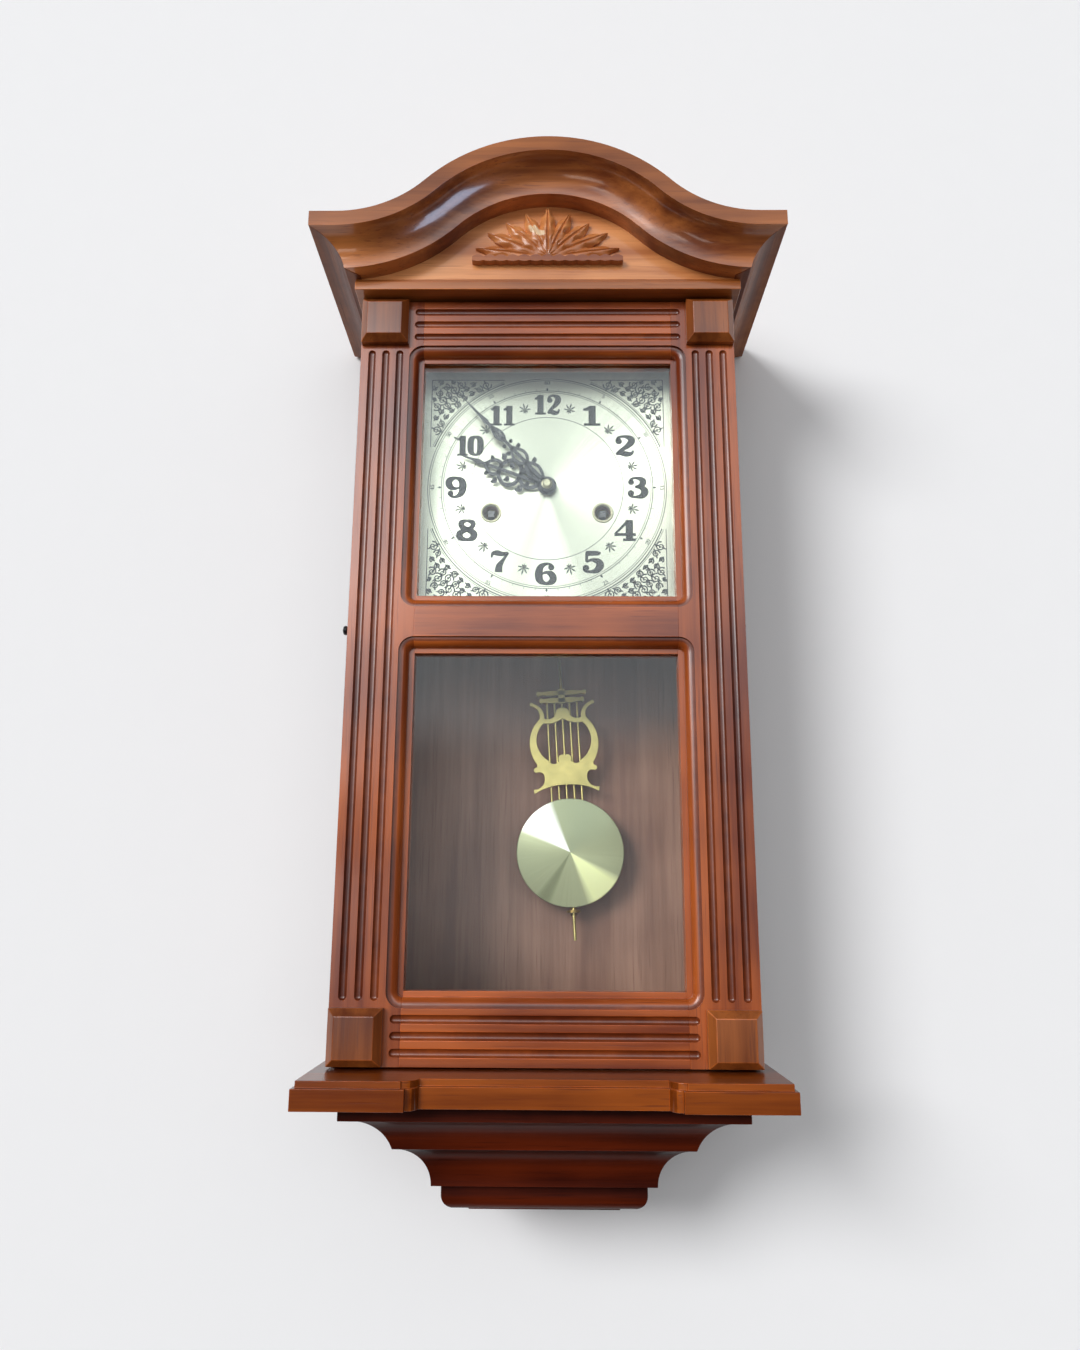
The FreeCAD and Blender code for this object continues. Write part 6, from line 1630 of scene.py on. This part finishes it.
class CLOCK_OT_movement(bpy.types.Operator):
    """Finishes the movement, the gong and the hanger"""

    bl_idname = "clock.movement"
    bl_label = "Movement"

    def execute(self, context):
        for node, slot in SLOT_OF.items():
            if NODES[node].hide_render:
                continue
            if slot == "brass":
                dress(brass(), node)
            elif slot == "steel":
                dress(steel(), node)
            elif slot == "dark_iron":
                dress(blacking(), node)
        softened("hanger_plate", [steel()], HANGER_ROUND)
        dim = tuple(ARBOR_DIM * value for value in context.scene.clock_metals.steel)
        dark = finish_named("dark_steel", metal, dim, ARBOR_ROUGH)
        dress(dark, "going_winding_arbor", "strike_winding_arbor")
        return {"FINISHED"}


class CLOCK_OT_furniture(bpy.types.Operator):
    """Finishes the door's knob and hinges"""

    bl_idname = "clock.furniture"
    bl_label = "Door furniture"

    def execute(self, context):
        low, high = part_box("door_knob")
        profile = scaled(KNOB_PROFILE, (high.z - low.z) / 2, high.x - low.x)
        spot = (high.x, (low.y + high.y) / 2, (low.z + high.z) / 2)
        seat = Matrix.Translation(spot) @ Matrix.Rotation(-math.pi / 2, 4, "Y")
        knob = lathe("door_knob_finished", profile, seat, [blacking()], KNOB_CORNERS)
        hand_over(knob, BODY_OF["door_knob"], SLOT_OF["door_knob"], "door_knob")
        for node in ("hinge_case_leaves", "hinge_door_leaves"):
            softened(node, [brass()], HINGE_ROUND)
        return {"FINISHED"}


# Stage

CAMERA_SPOT = (2.7 * MM, -674 * MM, -364.5 * MM)
CAMERA_PITCH = 13.0
CAMERA_YAW = 0.62
CAMERA_ROLL = 0.3
SENSOR_WIDTH = 36
NEAREST = 10 * MM
WALL_GAP = 2 * MM
WALL_SIDE = 6.0
WALL_LAP = 6 * MM
FLOOR_DROP = 0.9
CARD_PLACE = -2.0
CARD_CORNERS = (-2.4, 1.8, -1.2, 2.3)
CARD_BASE = (-0.75, -0.35)
CARD_DIM = 0.45
CARD_FOOT = (0.0, 0.12)
CARD_HEAD = (1.25, 1.75)
CARD_SHADE = 0.3
CARD_COLOUR = (0.84, 0.94, 1.0, 1.0)
WINDOW_FOOT = (0.26, 0.42)
WINDOW_HEAD = (0.92, 1.28)
WINDOW_SPAN = (-0.48, -0.3)
WINDOW_SHADE = 0.22
WINDOW_COLOUR = (0.95, 0.98, 1.0, 1.0)
BAND_INSIDE = (-0.52, -0.38)
BAND_OUTSIDE = (-1.1, -0.8)
BAND_HEAD = (1.1, 1.35)
SUN_FROM = (-0.75, -1.0, 0.45)
SUN_WIDTH = 26
FILL_FROM = (0.1, -1.0, 0.0)
FILL_WIDTH = 60
BEHIND_FROM = (0.5, 1.0, 0.5)
ROOM_SHINE = 0.15
ROOM_HEIGHTS = (-0.4, 0.3)
ROOM_FOOT = 0.2
ROOM_COLOUR = (0.97, 0.98, 1.0, 1.0)
BLACK = (0, 0, 0, 1)
PANES = [
    # place, width and height in metres, share of the panes' power, colour
    ((0.9, -0.75, -0.5), (0.62, 0.52), 1.0, (0.62, 0.74, 1.0, 1.0)),
    ((-0.3, -0.83, -0.6), (0.3, 0.16), 0.36, (1.0, 0.94, 0.87, 1.0)),
    ((-0.3, -1.0, -0.25), (0.14, 0.12), 0.5, (1.0, 0.94, 0.87, 1.0)),
]


def glow(name, card_power, window_power, strip_power):
    """A card in front of the clock: dim along its foot, with a bright window at the upper left and an
    upright strip beside it."""
    finish, tree, shader = new_material(name)
    tree.nodes.remove(shader)
    place = add_node(tree, "ShaderNodeSeparateXYZ")
    tree.links.new(object_space(tree), place.inputs[0])
    across, height = place.outputs["X"], place.outputs["Z"]
    base = ranged(tree, height, *CARD_BASE)
    foot = ranged(tree, height, *CARD_FOOT, CARD_DIM * card_power, card_power)
    body = math_node(tree, "MULTIPLY", base, foot)
    card = math_node(tree, "MULTIPLY", body, ranged(tree, height, *CARD_HEAD, 1.0, CARD_SHADE))
    sill = ranged(tree, height, *WINDOW_FOOT)
    upright = math_node(tree, "MULTIPLY", sill, ranged(tree, height, *WINDOW_HEAD, 1.0, 0.0))
    pane = math_node(tree, "MULTIPLY", upright, ranged(tree, across, *WINDOW_SPAN, 1.0, WINDOW_SHADE))
    beside = math_node(tree, "MULTIPLY", base, ranged(tree, across, *BAND_INSIDE, strip_power, 0.0))
    band = math_node(tree, "MULTIPLY", beside, ranged(tree, across, *BAND_OUTSIDE))
    strip = math_node(tree, "MULTIPLY", band, ranged(tree, height, *BAND_HEAD, 1.0, 0.0))
    power = math_node(tree, "ADD", card, math_node(tree, "MULTIPLY", pane, window_power))
    power = math_node(tree, "ADD", power, strip)
    light = add_node(tree, "ShaderNodeEmission")
    tree.links.new(mix_colour(tree, pane, CARD_COLOUR, WINDOW_COLOUR), light.inputs["Color"])
    tree.links.new(power, light.inputs["Strength"])
    show(tree, light.outputs[0])
    return finish


def sheet_of(name, finish, *faces):
    """A flat piece of the stage from the corners of its faces."""
    shape = bmesh.new()
    for corners in faces:
        shape.faces.new([shape.verts.new(corner) for corner in corners])
    piece = link_piece(name, mesh_from(shape, name), [finish])
    return piece


def corners_of(left, right, low, high):
    """The corners of a rectangle as (across, up), from its lower left one."""
    return [(left, low), (right, low), (right, high), (left, high)]


def wall_cells(half, foot):
    """The wall's faces, open behind the case and the drop so that their backs get light."""
    gaps = []
    for node in ("back_board", "drop_upper", "drop_lower"):
        low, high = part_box(node)
        gaps.append((low.x + WALL_LAP, high.x - WALL_LAP, low.z + WALL_LAP, high.z - WALL_LAP))
    across = sorted({-half, half, *(edge for gap in gaps for edge in gap[:2])})
    upright = sorted({foot, half, *(edge for gap in gaps for edge in gap[2:])})
    for left, right in zip(across, across[1:]):
        for low, high in zip(upright, upright[1:]):
            x, z = (left + right) / 2, (low + high) / 2
            if not any(gap[0] < x < gap[1] and gap[2] < z < gap[3] for gap in gaps):
                yield [(side, WALL_GAP, up) for side, up in corners_of(left, right, low, high)]


def reflected_only(piece):
    """Leaves a glowing sheet to show in polish and glass, where it casts no shadow."""
    piece.visible_camera = False
    piece.visible_diffuse = False
    piece.visible_shadow = False


def soft_sun(name, source, width, power):
    """A distant light from a direction, as wide as the given degrees."""
    data = bpy.data.lights.new(name, "SUN")
    data.energy = power
    data.angle = math.radians(width)
    light = bpy.data.objects.new(name, data)
    light.rotation_euler = Vector(source).to_track_quat("Z", "Y").to_euler()
    bpy.context.scene.collection.objects.link(light)
    return light


class CLOCK_OT_stage(bpy.types.Operator):
    """Sets the camera, the wall, the floor and the lights"""

    bl_idname = "clock.stage"
    bl_label = "Stage"

    def execute(self, context):
        scene = context.scene
        stage = scene.clock_stage
        pitch, yaw = math.radians(CAMERA_PITCH), math.radians(CAMERA_YAW)
        ahead = Vector((-math.sin(yaw) * math.cos(pitch), math.cos(yaw) * math.cos(pitch), math.sin(pitch)))
        data = bpy.data.cameras.new("camera")
        data.lens = stage.lens
        data.sensor_width = SENSOR_WIDTH
        camera = bpy.data.objects.new("camera", data)
        camera.location = CAMERA_SPOT
        camera.rotation_mode = "QUATERNION"
        roll = Quaternion((0, 0, 1), math.radians(CAMERA_ROLL))
        camera.rotation_quaternion = ahead.to_track_quat("-Z", "Y") @ roll
        data.clip_start = NEAREST
        scene.collection.objects.link(camera)
        scene.camera = camera

        flat = finish_named("wall_paint", paint, tuple(stage.wall_colour))
        half = WALL_SIDE / 2
        floor = CAD_BOX[0].z - FLOOR_DROP
        sheet_of("wall", flat, *wall_cells(half, floor))
        ground = sheet_of("floor", flat, [(x, y, floor) for x, y in corners_of(-half, half, -half, half)])
        ground.visible_glossy = False
        ground.visible_diffuse = False

        left, right, foot, head = CARD_CORNERS
        corners = [(left, foot), (left, head), (right, head), (right, foot)]
        shine = finish_named("card_glow", glow, stage.card_power, stage.window_power, stage.strip_power)
        reflected_only(sheet_of("card", shine, [(across, CARD_PLACE, up) for across, up in corners]))

        soft_sun("sun", SUN_FROM, SUN_WIDTH, stage.sun_power)
        fill = soft_sun("fill", FILL_FROM, FILL_WIDTH, stage.fill_power)
        fill.visible_glossy = False
        behind = soft_sun("behind", BEHIND_FROM, FILL_WIDTH, stage.behind_power)
        behind.visible_glossy = False
        self.panes(stage.pane_power)

        world = bpy.data.worlds.new("room")
        world.use_nodes = True
        sky = world.node_tree
        background = sky.nodes["Background"]
        upward = add_node(sky, "ShaderNodeSeparateXYZ")
        sky.links.new(add_node(sky, "ShaderNodeTexCoord").outputs["Generated"], upward.inputs[0])
        levels = (ROOM_FOOT * stage.world_strength, stage.world_strength)
        strength = ranged(sky, upward.outputs["Z"], *ROOM_HEIGHTS, *levels)
        path = add_node(sky, "ShaderNodeLightPath")
        polish, glass = path.outputs["Is Glossy Ray"], path.outputs["Is Transmission Ray"]
        mirrored = math_node(sky, "MAXIMUM", polish, glass)
        seen = ranged(sky, mirrored, 0.0, 1.0, 1.0, ROOM_SHINE)
        sky.links.new(math_node(sky, "MULTIPLY", strength, seen), background.inputs["Strength"])
        background.inputs["Color"].default_value = ROOM_COLOUR
        scene.world = world
        scene.view_settings.view_transform = "Standard"
        return {"FINISHED"}

    def panes(self, power):
        """Small panes low in front that show in the cornice's polish alone."""
        lit = bpy.data.collections.new("lit_by_panes")
        lit.objects.link(bpy.data.objects["cornice_front_finished"])
        for i, (place, (wide, tall), share, tint) in enumerate(PANES):
            finish, tree, shader = new_material(f"pane_glow_{i}")
            set_inputs(shader, Base_Color=BLACK, Emission_Color=tint, Emission_Strength=share * power)
            seat = Matrix.Translation(place) @ Vector(place).to_track_quat("Z", "Y").to_matrix().to_4x4()
            spots = corners_of(-wide / 2, wide / 2, -tall / 2, tall / 2)
            pane = sheet_of(f"pane_{i}", finish, [seat @ Vector((across, up, 0)) for across, up in spots])
            reflected_only(pane)
            pane.light_linking.receiver_collection = lit


OPERATORS = (
    CLOCK_OT_case,
    CLOCK_OT_door,
    CLOCK_OT_leaf,
    CLOCK_OT_dial,
    CLOCK_OT_hands,
    CLOCK_OT_pendulum,
    CLOCK_OT_furniture,
    CLOCK_OT_movement,
    CLOCK_OT_stage,
)


class CLOCK_PT_panel(bpy.types.Panel):
    """Lists what dresses the clock"""

    bl_label = "Wall clock"
    bl_idname = "CLOCK_PT_panel"
    bl_space_type = "VIEW_3D"
    bl_region_type = "UI"
    bl_category = "Clock"

    def draw(self, context):
        for settings in ("clock_woods", "clock_dial", "clock_metals", "clock_stage"):
            box = self.layout.box()
            for name in getattr(context.scene, settings).__annotations__:
                box.prop(getattr(context.scene, settings), name)
        for operator in OPERATORS:
            self.layout.operator(operator.bl_idname)


SETTINGS = {
    "clock_woods": ClockWoods,
    "clock_dial": ClockDial,
    "clock_metals": ClockMetals,
    "clock_stage": ClockStage,
}


def register():
    """Adds the settings, the operators and the panel."""
    for kind in (*SETTINGS.values(), *OPERATORS, CLOCK_PT_panel):
        bpy.utils.register_class(kind)
    for name, kind in SETTINGS.items():
        setattr(bpy.types.Scene, name, bpy.props.PointerProperty(type=kind))


def unregister():
    """Takes the settings, the operators and the panel away."""
    for name in SETTINGS:
        delattr(bpy.types.Scene, name)
    for kind in reversed((*SETTINGS.values(), *OPERATORS, CLOCK_PT_panel)):
        bpy.utils.unregister_class(kind)


def main():
    """Dresses the clock."""
    register()
    for operator in OPERATORS:
        section, name = operator.bl_idname.split(".")
        getattr(getattr(bpy.ops, section), name)()


if __name__ == "__main__":
    main()
